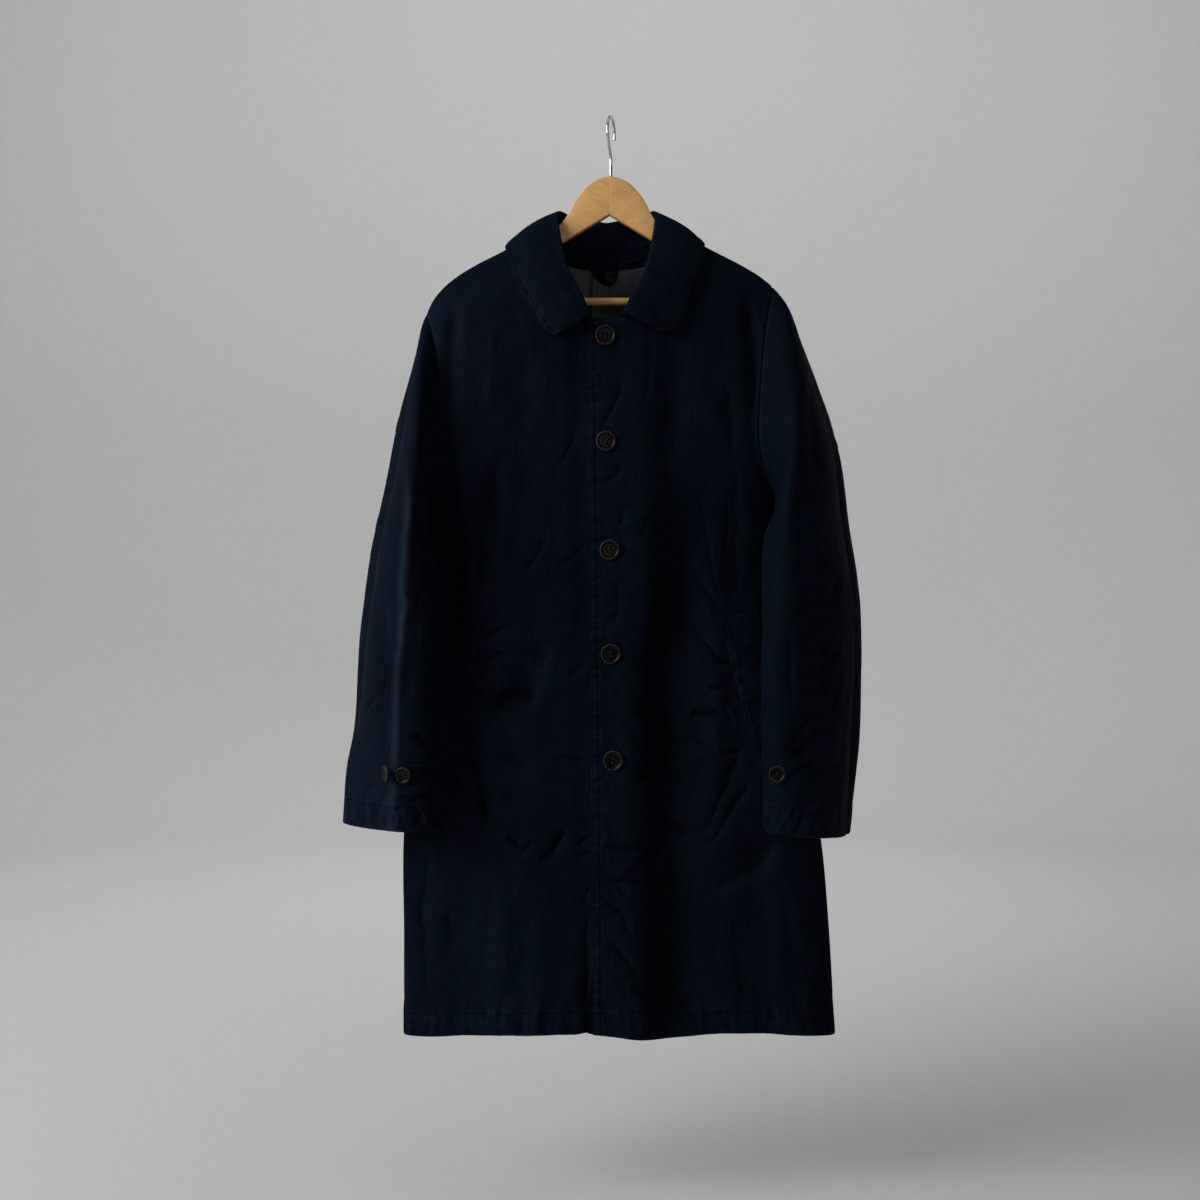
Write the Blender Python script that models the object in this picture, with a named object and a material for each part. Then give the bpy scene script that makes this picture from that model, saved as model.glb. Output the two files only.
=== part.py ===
"""Car coat hanging on a flat wooden hanger, closed with five buttons.

Left and right are the wearer's: the left front is at +X. The front faces -Y, +Z is up, and
the origin is the inner crown of the hanger's hook, where a rail or a wall eye holds it.
Every cloth piece is a thin wall on a grid of points worked out from the tables below.
"""
import math

import bmesh
import bpy
import numpy as np
from mathutils import Vector
from mathutils.bvhtree import BVHTree

# Walls and gaps, in metres.
WALL = 0.0016
LINING_WALL = 0.0010
SEAM_GAP = 0.0005
LAP_SINK = 0.0032
LAP_EASE = 0.030

# Where the coat hangs: the middle of the shoulders and the middle of the neck.
SHOULDER_X = -0.0030
NECK_X = -0.0055
UNDERARM_Z = -0.465
SIDE_BACK = 0.010
SIDE_BACK_DROP = 0.250
SIDE_ROUND = 0.60
FRONT_RISE = 0.160
BACK_RISE = 0.120

# Grid sizes, in cells.
ARMHOLE_CELLS = 8
SIDE_CELLS = 13
LAP_CELLS = 2
NECK_CELLS = 5
SHOULDER_CELLS = 5
BACK_NECK_CELLS = 8
SLEEVE_CELLS = 17
FALL_CELLS = 4
FALL_FINER = 2
STAND_CELLS = 2

# The facing ends part of the way down the back's grid, and stands off it a little.
FACING_LOW = 1.45
NECK_EASE = 0.0007
LINING_ROWS = 8

# Ridge line of the shoulders: reach from the middle of the shoulders, and height.
SHOULDER = (
    # reach, height
    (0.0000, -0.1000),
    (0.0800, -0.1370),
    (0.1340, -0.1649),
    (0.1630, -0.1797),
    (0.1870, -0.1944),
    (0.2045, -0.2092),
    (0.2160, -0.2239),
    (0.2245, -0.2414),
)

# Level sections of the body: its two edges, how far it stands forward and back of the
# middle, and how square its ends are. Above the underarm the edges are those that the
# section would have without the armhole.
BODY = (
    # height, right edge, left edge, forward, backward, squareness
    (-0.100, -0.2500, 0.2360, 0.046, 0.044, 4.5),
    (-0.330, -0.2500, 0.2360, 0.047, 0.045, 4.5),
    (-0.420, -0.2410, 0.2220, 0.049, 0.046, 4.0),
    (UNDERARM_Z, -0.2280, 0.2080, 0.049, 0.046, 3.2),
    (-0.600, -0.2320, 0.2130, 0.047, 0.046, 2.9),
    (-0.700, -0.2400, 0.2240, 0.046, 0.046, 2.8),
    (-0.800, -0.2500, 0.2440, 0.045, 0.046, 2.8),
    (-0.890, -0.2565, 0.2603, 0.045, 0.047, 2.6),
    (-1.000, -0.2560, 0.2700, 0.045, 0.048, 2.5),
    (-1.140, -0.2560, 0.2776, 0.046, 0.050, 2.4),
)

# Armhole seams: how far each lies inside the straight line from shoulder tip to underarm.
SHOULDER_TIP_REACH = {"right": 0.2244, "left": 0.2020}
ARMHOLE = (
    # share of the drop, right inset, left inset
    (0.00, 0.0000, 0.0000),
    (0.15, 0.0110, 0.0100),
    (0.35, 0.0160, 0.0190),
    (0.55, 0.0170, 0.0240),
    (0.72, 0.0180, 0.0265),
    (0.87, 0.0140, 0.0200),
    (0.96, 0.0065, 0.0090),
    (1.00, 0.0000, 0.0000),
)

# Hem height by place across the coat, at the front and at the back.
HEM = (
    # across, front height, back height
    (-0.2560, -1.1255, -1.1255),
    (-0.1400, -1.1170, -1.1290),
    (-0.0200, -1.1145, -1.1300),
    (0.0550, -1.1215, -1.1290),
    (0.1500, -1.1160, -1.1280),
    (0.2776, -1.1255, -1.1255),
)

# Front edges: the left front laps over the right one.
LAP_EDGE_TOP = (-0.0290, -0.2545)
LAP_EDGE_HEM_X = -0.0207
UNDER_LAP = 0.0430
NECK_EDGE_Z = -0.2500

# The largest folds, as straight troughs that fade out at both ends; a depth below zero is a
# ridge. A trough moves the cloth towards the middle of the coat.
FRONT_FOLDS = (
    # top x, top z, bottom x, bottom z, half width, depth
    (0.0585, -0.500, 0.0729, -1.150, 0.024, 0.011),
    (0.0165, -0.560, 0.0250, -1.150, 0.018, -0.005),
    (-0.1875, -0.440, -0.1875, -0.880, 0.013, 0.008),
    (-0.1455, -0.420, -0.1430, -0.620, 0.011, 0.004),
    (-0.1900, -0.215, -0.1980, -0.380, 0.009, 0.006),
    (0.1640, -0.200, 0.1770, -0.380, 0.009, 0.006),
    (0.1250, -0.420, 0.1300, -1.000, 0.020, -0.005),
    (-0.0900, -0.620, -0.0980, -1.160, 0.026, -0.005),
    (0.1750, -0.820, 0.1900, -1.160, 0.022, 0.007),
    (-0.1750, -0.880, -0.1800, -1.160, 0.022, 0.005),
)
BACK_FOLDS = (
    (-0.1450, -0.300, -0.1550, -1.160, 0.024, 0.009),
    (0.1300, -0.320, 0.1450, -1.160, 0.026, 0.010),
    (-0.0700, -0.420, -0.0850, -1.160, 0.024, -0.006),
    (0.0300, -0.360, 0.0350, -1.160, 0.026, 0.007),
    (0.0800, -0.520, 0.0900, -1.160, 0.020, -0.006),
)

# Sleeve sections below the armhole. Each has an outer and an inner point, and how far its
# front and back points lie from there; a section's front and back are level with its middle.
SLEEVES = {
    "right": (
        # outer x, y, z, inner x, y, z, front x, y, back x, y
        (-0.2345, 0.004, -0.268, -0.2350, -0.006, -0.490, -0.2260, -0.070, -0.2420, 0.062),
        (-0.2400, 0.008, -0.330, -0.2170, -0.040, -0.520, -0.2410, -0.088, -0.2700, 0.066),
        (-0.2575, 0.010, -0.425, -0.2065, -0.050, -0.560, -0.2445, -0.093, -0.2800, 0.060),
        (-0.2830, 0.006, -0.520, -0.2060, -0.055, -0.620, -0.2470, -0.096, -0.2870, 0.046),
        (-0.3000, 0.000, -0.630, -0.2060, -0.060, -0.695, -0.2490, -0.098, -0.2900, 0.032),
        (-0.3085, -0.008, -0.735, -0.2055, -0.064, -0.765, -0.2510, -0.096, -0.2870, 0.018),
        (-0.3215, -0.016, -0.800, -0.2040, -0.066, -0.818, -0.2525, -0.092, -0.2790, 0.006),
        (-0.3252, -0.020, -0.862, -0.2045, -0.066, -0.865, -0.2535, -0.090, -0.2720, -0.006),
    ),
    "left": (
        (0.2210, 0.004, -0.240, 0.2160, -0.006, -0.486, 0.2080, -0.072, 0.2250, 0.062),
        (0.2440, 0.008, -0.310, 0.1950, -0.042, -0.517, 0.2180, -0.090, 0.2550, 0.066),
        (0.2715, 0.010, -0.400, 0.1815, -0.050, -0.560, 0.2220, -0.096, 0.2700, 0.062),
        (0.2825, 0.008, -0.490, 0.1800, -0.055, -0.620, 0.2240, -0.100, 0.2760, 0.048),
        (0.2970, 0.002, -0.585, 0.1795, -0.058, -0.685, 0.2260, -0.101, 0.2790, 0.034),
        (0.2970, -0.004, -0.690, 0.1800, -0.062, -0.760, 0.2280, -0.099, 0.2790, 0.022),
        (0.2925, -0.010, -0.780, 0.1810, -0.064, -0.815, 0.2290, -0.095, 0.2750, 0.010),
        (0.2865, -0.016, -0.877, 0.1820, -0.066, -0.864, 0.2290, -0.092, 0.2600, -0.004),
    ),
}
INNER_BACK_SQUARE = 1.2

# Sleeve seams, in degrees round the sleeve: 0 outside, 90 front, 180 inside, 270 back.
SLEEVE_SEAMS = {
    "right": (
        # share of the length, hindarm seam, forearm seam
        (0.00, -67.5, 157.5),
        (0.45, -35.0, 175.0),
        (1.00, 18.0, 195.0),
    ),
    "left": (
        (0.00, -67.5, 157.5),
        (0.45, -15.0, 178.0),
        (1.00, 48.0, 205.0),
    ),
}
TOP_SLEEVE_CELLS = 10

# The collar, from the front end of a leaf to the middle of the back. Places across are
# distances from the middle of the neck.
COLLAR = (
    # share, neck across, neck z, roll across, roll y, roll z,
    # right leaf edge across, z, left leaf edge across, z, lift of the edge off the body
    (0.00, 0.0190, -0.2500, 0.0195, -0.0590, -0.2465, 0.0463, -0.2670, 0.0637, -0.2676, 0.0050),
    (0.06, 0.0260, -0.2440, 0.0235, -0.0595, -0.2400, 0.0618, -0.2742, 0.0799, -0.2694, 0.0050),
    (0.14, 0.0370, -0.2330, 0.0290, -0.0585, -0.2283, 0.0740, -0.2680, 0.0901, -0.2570, 0.0045),
    (0.28, 0.0560, -0.2040, 0.0470, -0.0500, -0.1950, 0.0870, -0.2460, 0.0985, -0.2290, 0.0040),
    (0.45, 0.0710, -0.1700, 0.0570, -0.0330, -0.1590, 0.1095, -0.2104, 0.1085, -0.1993, 0.0044),
    (0.62, 0.0800, -0.1370, 0.0630, -0.0050, -0.1160, 0.1205, -0.1590, 0.1173, -0.1575, 0.0045),
    (0.80, 0.0480, -0.1530, 0.0430, 0.0330, -0.1140, 0.0850, -0.1750, 0.0830, -0.1750, 0.0045),
    (1.00, 0.0000, -0.1590, 0.0000, 0.0440, -0.1196, 0.0000, -0.1720, 0.0000, -0.1720, 0.0060),
)
SHOULDER_SHARE = 0.62
FALL_BULGE = 0.005
STAND_INSET = 0.0030

# Pocket welts: the slanting front edge, top and bottom, and the width across.
POCKETS = {
    "right": (-0.1561, -0.6128, -0.1851, -0.8061, -0.0480, 0.0140),
    "left": (0.1376, -0.6152, 0.1811, -0.8025, 0.0430, 0.0140),
}
WELT_WALL = 0.0012
WELT_OFF = 0.0010

# Cuff straps, in degrees round the sleeve and shares of its length.
STRAP_WALL = 0.0016
STRAP_OFF = 0.0010
STRAPS = {
    # base angle, shoulder angle, tip angle, top z, bottom z, tip z
    "right": (212.0, 103.0, 88.0, -0.7730, -0.8210, -0.7970),
    "left": (282.0, 200.0, 180.0, -0.7730, -0.8210, -0.7970),
}

# Inside the neck: a tab (top middle, half width, then its end's) and a loop (start and end
# across, height, sag and half width).
TAB_OFF = 2 * SEAM_GAP + NECK_EASE + LINING_WALL
NECK_TAB = (-0.0128, -0.1635, 0.0200, -0.0035, -0.1980, 0.0140)
TAB_BUTTON = (-0.0020, -0.1885)
HANGER_LOOP = (0.0100, 0.0400, -0.1640, 0.0050, 0.0020)

# Buttons: radius, thickness, and the thread shank that stands on the cloth.
BUTTON_RADIUS = 0.0120
CUFF_BUTTON_RADIUS = 0.0095
TAB_BUTTON_RADIUS = 0.0062
BUTTON_SHANK = 0.0012
BUTTON_SIDES = 16
FRONT_BUTTONS = (
    # x, z
    (-0.0075, -0.2722),
    (-0.0063, -0.4002),
    (-0.0027, -0.5298),
    (-0.0003, -0.6558),
    (0.0027, -0.7830),
)

STRAP_BUTTON = (-0.2427, -0.7959)
CUFF_BUTTONS = {
    # x, z, lean towards the right, how far the cloth's side of the button stands off
    "right_2": (-0.2605, -0.7956, 64.0, 0.0088),
    "left_1": (0.1945, -0.7940, 8.0, 0.0022),
}

# The hanger: reach from its middle, and the top and bottom of its arm.
HANGER_X = -0.0015
ARM_HALF = 0.0060
ARM_CHAMFER = 0.0030
HANGER = (
    # reach, top, bottom
    (0.0003, -0.0709, -0.1193),
    (0.0150, -0.0750, -0.1281),
    (0.0295, -0.0850, -0.1367),
    (0.0420, -0.1010, -0.1442),
    (0.0515, -0.1185, -0.1498),
    (0.0600, -0.1295, -0.1548),
    (0.0690, -0.1370, -0.1601),
    (0.0800, -0.1450, -0.1672),
    (0.0860, -0.1480, -0.1706),
    (0.1100, -0.1585, -0.1850),
    (0.1370, -0.1725, -0.2040),
    (0.1630, -0.1860, -0.2250),
    (0.1850, -0.2008, -0.2390),
    (0.1960, -0.2105, -0.2385),
    (0.2010, -0.2190, -0.2300),
)
BAR_Z = -0.2247
BAR_RADIUS = 0.0048
BAR_HALF = 0.1560
WIRE = 0.0019
HOOK_RADIUS = 0.0200
HOOK_TURN = math.radians(13.0)
HOOK_TIP = math.radians(-12.0)
HOOK_BEND = math.radians(222.0)

FINISHES = {
    # colour, roughness, metallic
    "navy cloth": ((0.006, 0.010, 0.022), 0.72, 0.0),
    "plum lining": ((0.045, 0.036, 0.050), 0.55, 0.0),
    "horn": ((0.050, 0.028, 0.018), 0.30, 0.0),
    "pale wood": ((0.480, 0.290, 0.130), 0.45, 0.0),
    "chrome": ((0.750, 0.750, 0.770), 0.15, 1.0),
}


# ---------------------------------------------------------------- curves

def table_curve(rows, column, at):
    """Smooth curve through a table: cubic pieces whose slopes are the rows' mean slopes."""
    table = np.array(rows, float)
    keys, values = table[:, 0], table[:, column]
    if keys[0] > keys[-1]:
        keys, values = keys[::-1], values[::-1]
    return hermite(keys, values, np.asarray(at, float))


def hermite(keys, values, at):
    """Cubic pieces through values at keys; values may be numbers or points."""
    slopes = np.gradient(values, keys, axis=0)
    piece = np.clip(np.searchsorted(keys, at) - 1, 0, len(keys) - 2)
    width = keys[piece + 1] - keys[piece]
    t = np.clip((at - keys[piece]) / width, 0.0, 1.0)
    if values.ndim > 1:
        shape = t.shape + (1,) * (values.ndim - 1)
        t, width = t.reshape(shape), width.reshape(shape)
    return (
        (2 * t**3 - 3 * t**2 + 1) * values[piece]
        + (t**3 - 2 * t**2 + t) * width * slopes[piece]
        + (3 * t**2 - 2 * t**3) * values[piece + 1]
        + (t**3 - t**2) * width * slopes[piece + 1]
    )


def ease(share):
    """Smooth step from 0 to 1."""
    share = np.clip(share, 0.0, 1.0)
    return share * share * (3.0 - 2.0 * share)


def unit(vectors):
    """Vectors at length one."""
    length = np.linalg.norm(vectors, axis=-1, keepdims=True)
    return vectors / np.maximum(length, 1e-9)


# ---------------------------------------------------------------- the body's form

def shoulder_height(x):
    """Height of the shoulder ridge at a place across."""
    return table_curve(SHOULDER, 1, np.abs(x - SHOULDER_X))


def folds(rows, x, z):
    """Sum of straight troughs: a bell across each line, faded at its two ends."""
    total = np.zeros_like(x)
    for top_x, top_z, low_x, low_z, half, depth in rows:
        along = np.clip((z - top_z) / (low_z - top_z), 0.0, 1.0)
        middle = top_x + (low_x - top_x) * along
        fade = ease(along * 3.0) * ease((1.0 - along) * 3.0 + 0.5 * (low_z < -1.1))
        total = total + depth * fade * np.exp(-(((x - middle) / half) ** 2))
    return total


def body_y(x, z, facing):
    """Depth of the body's cloth: a rounded section that narrows to nothing at the ridge."""
    front = facing == "front"
    right, left = table_curve(BODY, 1, z), table_curve(BODY, 2, z)
    depth = table_curve(BODY, 3 if front else 4, z)
    square = table_curve(BODY, 5, z)
    across = np.clip(np.abs(x - (left + right) / 2) / ((left - right) / 2), 0.0, 1.0)
    drop = np.maximum(shoulder_height(x) - z, 0.0)
    rise = np.clip(drop / (FRONT_RISE if front else BACK_RISE), 0.0, 1.0)
    full = (1.0 - across**square) ** SIDE_ROUND * np.sqrt(1.0 - (1.0 - rise) ** 2)
    rest = SIDE_BACK * ease(drop / SIDE_BACK_DROP)
    moved = folds(FRONT_FOLDS if front else BACK_FOLDS, x, z) * np.minimum(full * 1.5, 1.0)
    if front:
        return rest - (depth + rest) * full + moved
    return rest + (depth - rest) * full - moved


def body_out(x, z, facing):
    """Unit vectors straight out of the body's cloth, from its slopes."""
    step = 0.0005
    side = -1.0 if facing == "front" else 1.0
    slope_x = (body_y(x + step, z, facing) - body_y(x - step, z, facing)) / (2 * step)
    slope_z = (body_y(x, z + step, facing) - body_y(x, z - step, facing)) / (2 * step)
    drop = shoulder_height(x) - z
    steep = np.where(drop < 2 * step, side * -40.0, slope_z)
    right, left = table_curve(BODY, 1, z), table_curve(BODY, 2, z)
    low = z < UNDERARM_Z + 0.001
    slope_x = np.where(low & (x > left - 2 * step), side * -40.0, slope_x)
    slope_x = np.where(low & (x < right + 2 * step), side * 40.0, slope_x)
    return unit(np.stack((-side * slope_x, np.full_like(x, side), -side * steep), axis=-1))


def armhole(side, share):
    """Place across and height along an armhole, from the shoulder tip to the underarm."""
    sign = -1.0 if side == "right" else 1.0
    tip_x = SHOULDER_X + sign * SHOULDER_TIP_REACH[side]
    tip_z = float(shoulder_height(np.array(tip_x)))
    low_x = float(table_curve(BODY, 1 if side == "right" else 2, UNDERARM_Z))
    inset = table_curve(ARMHOLE, 1 if side == "right" else 2, share)
    x = tip_x + (low_x - tip_x) * share - sign * inset
    return x, tip_z + (UNDERARM_Z - tip_z) * share


def armhole_shares():
    """Shares of the armhole's drop, close together at the tip and at the underarm."""
    return (1.0 - np.cos(np.pi * np.arange(ARMHOLE_CELLS + 1) / ARMHOLE_CELLS)) / 2.0


def side_line(side, facing):
    """Places down one side of a panel: the armhole, then the side seam."""
    hole_x, hole_z = armhole(side, armhole_shares())
    hem_x = table_curve(BODY, 1 if side == "right" else 2, -1.1255)
    hem_z = float(table_curve(HEM, 1 if facing == "front" else 2, hem_x))
    seam_z = UNDERARM_Z + (hem_z - UNDERARM_Z) * np.arange(1, SIDE_CELLS + 1) / SIDE_CELLS
    seam_x = table_curve(BODY, 1 if side == "right" else 2, seam_z)
    return np.concatenate((hole_x, seam_x)), np.concatenate((hole_z, seam_z))


def shoulder_run(side):
    """Places along a shoulder from the neck to the tip."""
    reach = np.linspace(0.080, SHOULDER_TIP_REACH[side], SHOULDER_CELLS + 1)
    x = SHOULDER_X + (-reach if side == "right" else reach)
    return x, shoulder_height(x)


def neck_run(side, shares):
    """Places along the neck seam, at shares of the collar's length."""
    sign = -1.0 if side == "right" else 1.0
    before = (shares - 0.5 * SHOULDER_SHARE) / (0.5 * SHOULDER_SHARE)
    after = (1.0 - shares) / (1.0 - SHOULDER_SHARE)
    middle = NECK_X + (SHOULDER_X - NECK_X) * np.clip(np.minimum(before, after), 0.0, 1.0)
    return middle + sign * table_curve(COLLAR, 1, shares), table_curve(COLLAR, 2, shares)


def front_shares(finer=1):
    """Shares of the collar's length from its front end to the shoulder seam."""
    return np.linspace(0.0, SHOULDER_SHARE, NECK_CELLS * finer + 1)


def back_shares(finer=1):
    """Shares of the collar's length from the shoulder seam to the middle of the back."""
    return np.linspace(SHOULDER_SHARE, 1.0, BACK_NECK_CELLS // 2 * finer + 1)


def coons(top, low, start, end):
    """Points between four edge lines: the mean of the two rulings, less the corners."""
    u = np.linspace(0.0, 1.0, top.shape[0])[None, :, None]
    drop = (start[:, 1] - start[0, 1]) / (start[-1, 1] - start[0, 1])
    v = drop[:, None, None]
    corners = (1 - v) * ((1 - u) * top[0] + u * top[-1]) + v * ((1 - u) * low[0] + u * low[-1])
    return (
        (1 - v) * top[None] + v * low[None]
        + (1 - u) * start[:, None] + u * end[:, None] - corners
    )


def front_places(side):
    """Places (across, height) of a front panel's grid: rows down, columns from the edge out."""
    sign = -1.0 if side == "right" else 1.0
    neck_x, neck_z = neck_run(side, front_shares())
    shoulder_x, shoulder_z = shoulder_run(side)
    if side == "right":
        edge = (LAP_EDGE_TOP[0] + UNDER_LAP, NECK_EDGE_Z)
        edge_hem = LAP_EDGE_HEM_X + UNDER_LAP
    else:
        edge = LAP_EDGE_TOP
        edge_hem = LAP_EDGE_HEM_X
    lap_x = np.linspace(edge[0], neck_x[0], LAP_CELLS + 1)[:-1]
    lap_z = edge[1] + (neck_z[0] - edge[1]) * np.sqrt(np.linspace(0, 1, LAP_CELLS + 1))[:-1]
    top = np.column_stack((
        np.concatenate((lap_x, neck_x, shoulder_x[1:])),
        np.concatenate((lap_z, neck_z, shoulder_z[1:])),
    ))
    end = np.column_stack(side_line(side, "front"))
    hem_x = edge_hem + (end[-1, 0] - edge_hem) * np.linspace(0, 1, top.shape[0]) ** 1.15
    low = np.column_stack((hem_x, table_curve(HEM, 1, hem_x)))
    down = (end[:, 1] - end[0, 1]) / (end[-1, 1] - end[0, 1])
    start = top[0] + (low[0] - top[0]) * down[:, None]
    return coons(top, low, start, end)


def back_places():
    """Places of the back panel's grid, from the right side to the left."""
    right_x, right_z = shoulder_run("right")
    left_x, left_z = shoulder_run("left")
    right_neck, neck_z = neck_run("right", back_shares())
    left_neck, _ = neck_run("left", back_shares())
    top = np.column_stack((
        np.concatenate((right_x[::-1], right_neck[1:], left_neck[-2::-1], left_x[1:])),
        np.concatenate((right_z[::-1], neck_z[1:], neck_z[-2::-1], left_z[1:])),
    ))
    start = np.column_stack(side_line("right", "back"))
    end = np.column_stack(side_line("left", "back"))
    hem_x = np.linspace(start[-1, 0], end[-1, 0], top.shape[0])
    low = np.column_stack((hem_x, table_curve(HEM, 2, hem_x)))
    return coons(top, low, start, end)


# ---------------------------------------------------------------- meshes

def pull_in(points, edges):
    """Draws the named edges of a grid in by half a seam gap, along the grid's own lines."""
    points = points.copy()
    half = SEAM_GAP / 2
    if "top" in edges:
        points[0] += half * unit(points[1] - points[0])
    if "low" in edges:
        points[-1] += half * unit(points[-2] - points[-1])
    if "start" in edges:
        points[:, 0] += half * unit(points[:, 1] - points[:, 0])
    if "end" in edges:
        points[:, -1] += half * unit(points[:, -2] - points[:, -1])
    return points


def between_rows(grid, row):
    """A row of values part of the way from one row of a grid to the next."""
    whole = int(row)
    return grid[whole] + (grid[whole + 1] - grid[whole]) * (row - whole)


def grid_out(points):
    """Unit vectors square to a grid, from the steps along its rows and columns."""
    down = np.gradient(points, axis=0)
    along = np.gradient(points, axis=1)
    return unit(np.cross(along, down))


def ring_out(points):
    """Unit vectors square to a grid whose last column lies on its first."""
    wrapped = np.concatenate((points[:, -2:-1], points, points[:, 1:2]), axis=1)
    return grid_out(wrapped)[:, 1:-1]


def rim(points, line, other):
    """Triangles between two lines of points, each cell split along its shorter diagonal, so
    that the rims of two pieces that meet at a seam are split the same way."""
    down = np.linalg.norm(points[line[:-1]] - points[other[1:]], axis=1)
    up = np.linalg.norm(points[line[1:]] - points[other[:-1]], axis=1)
    first = down <= up
    a, b, c, d = line[:-1], other[:-1], other[1:], line[1:]
    return (
        np.column_stack((a, b, np.where(first, c, d))),
        np.column_stack((np.where(first, a, b), c, d)),
    )


def wall(name, outer, inner, finish, smooth=True):
    """A closed wall between two grids of the same size, as one object."""
    rows, columns = outer.shape[:2]
    points = np.concatenate((outer.reshape(-1, 3), inner.reshape(-1, 3)))
    number = np.arange(rows * columns).reshape(rows, columns)
    back = number + rows * columns
    faces = []
    for grid, turned in ((number, False), (back, True)):
        a, b = grid[:-1, :-1].ravel(), grid[:-1, 1:].ravel()
        c, d = grid[1:, 1:].ravel(), grid[1:, :-1].ravel()
        for triangle in ((a, b, c), (a, c, d)):
            order = triangle[::-1] if turned else triangle
            faces.append(np.column_stack(order))
    for line, other in (
        (number[0], back[0]), (number[-1][::-1], back[-1][::-1]),
        (number[:, 0][::-1], back[:, 0][::-1]), (number[:, -1], back[:, -1]),
    ):
        faces.extend(rim(points, line, other))
    return make_object(name, points, np.concatenate(faces).tolist(), finish, smooth)


def make_object(name, points, faces, finish, smooth=False):
    """One named object with its faces turned outwards and its own material."""
    mesh = bpy.data.meshes.new(name)
    mesh.from_pydata([tuple(p) for p in points], [], faces)
    shell = bmesh.new()
    shell.from_mesh(mesh)
    bmesh.ops.recalc_face_normals(shell, faces=shell.faces)
    shell.to_mesh(mesh)
    shell.free()
    if smooth:
        mesh.shade_smooth()
        mesh.set_sharp_from_angle(angle=math.radians(50))
    made = bpy.data.objects.new(name, mesh)
    bpy.context.scene.collection.objects.link(made)
    made.data.materials.append(material(name, finish))
    return made


def material(name, finish):
    """A plain material in one of the coat's finishes."""
    colour, roughness, metallic = FINISHES[finish]
    made = bpy.data.materials.new(f"{name} {finish}")
    made.use_nodes = True
    shader = made.node_tree.nodes["Principled BSDF"]
    shader.inputs["Base Color"].default_value = (*colour, 1.0)
    shader.inputs["Roughness"].default_value = roughness
    shader.inputs["Metallic"].default_value = metallic
    return made


def lay_on(base, x, z, facing, off):
    """Points above an object's faceted face, found by looking straight at it, and its slant."""
    tree = BVHTree.FromPolygons(
        [v.co for v in base.data.vertices], [tuple(p.vertices) for p in base.data.polygons]
    )
    ahead = 1.0 if facing == "front" else -1.0
    points, outs = [], []
    for place_x, place_z in zip(np.ravel(x), np.ravel(z)):
        found, out, _, _ = tree.ray_cast(
            Vector((place_x, -0.5 * ahead, place_z)), Vector((0.0, ahead, 0.0))
        )
        points.append(found + out * off)
        outs.append(out)
    return np.array(points).reshape(*np.shape(x), 3), outs


# ---------------------------------------------------------------- cloth pieces

def make_front(side):
    """A front: the left one laps over, and the right one sinks under it."""
    places = front_places(side)
    x, z = places[..., 0], places[..., 1]
    y = body_y(x, z, "front")
    if side == "right":
        lap_x = LAP_EDGE_TOP[0] + (LAP_EDGE_HEM_X - LAP_EDGE_TOP[0]) * ease((z + 0.25) / -0.87)
        y = y + LAP_SINK * ease((x - lap_x + LAP_EASE) / (0.75 * LAP_EASE))
    outer = np.stack((x, y, z), axis=-1)
    out = body_out(x, z, "front")
    edges = ("top", "end")
    outer = pull_in(outer, edges)
    return wall(f"front_{side}", outer, outer - WALL * out, "navy cloth")


def make_back():
    """The back, in one piece, with its facing and half lining inside."""
    places = back_places()
    x, z = places[..., 0], places[..., 1]
    outer = np.stack((x, body_y(x, z, "back"), z), axis=-1)
    out = body_out(x, z, "back")
    outer = pull_in(outer, ("top", "start", "end"))
    wall("back", outer, outer - WALL * out, "navy cloth")

    ease_in = NECK_EASE * (np.arange(len(outer)) <= 2)[:, None, None]
    behind = outer - (WALL + SEAM_GAP + ease_in) * out
    edge_row = between_rows(behind, FACING_LOW)
    edge_out = between_rows(out, FACING_LOW)
    ins = slice(SHOULDER_CELLS, SHOULDER_CELLS + BACK_NECK_CELLS + 1)
    facing = pull_in(np.concatenate((behind[:2], edge_row[None]))[:, ins], ("low",))
    thick = LINING_WALL * np.concatenate((out[:2], edge_out[None]))[:, ins]
    wall("back_neck_facing", facing, facing - thick, "navy cloth")

    inside = slice(1, -1)
    rows = slice(2, LINING_ROWS + 1)
    lining = pull_in(np.concatenate((edge_row[None], behind[rows]))[:, inside], ("top",))
    thick = LINING_WALL * np.concatenate((edge_out[None], out[rows]))[:, inside]
    wall("back_lining", lining, lining - thick, "plum lining")


def sleeve_angles(side, shares):
    """Angles round the whole sleeve: the top piece from hindarm to forearm seam, then the
    under piece on to the hindarm seam again."""
    hind = np.radians(table_curve(SLEEVE_SEAMS[side], 1, shares))[:, None]
    fore = np.radians(table_curve(SLEEVE_SEAMS[side], 2, shares))[:, None]
    top = np.linspace(0.0, 1.0, TOP_SLEEVE_CELLS + 1)[None, :]
    under = np.linspace(0.0, 1.0, 2 * ARMHOLE_CELLS - TOP_SLEEVE_CELLS + 1)[None, 1:]
    return np.concatenate(
        (hind + (fore - hind) * top, fore + (hind + 2 * np.pi - fore) * under), axis=1
    )


def armhole_ring(side, angles):
    """Points of the armhole seam at angles round the sleeve, and the way out of the body."""
    share = (1.0 - np.cos(angles)) / 2.0
    x, z = armhole(side, share)
    ahead = np.sin(angles) >= -1e-9
    y = np.where(ahead, body_y(x, z, "front"), body_y(x, z, "back"))
    out = np.where(ahead[..., None], body_out(x, z, "front"), body_out(x, z, "back"))
    return np.stack((x, y, z), axis=-1), out


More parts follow.
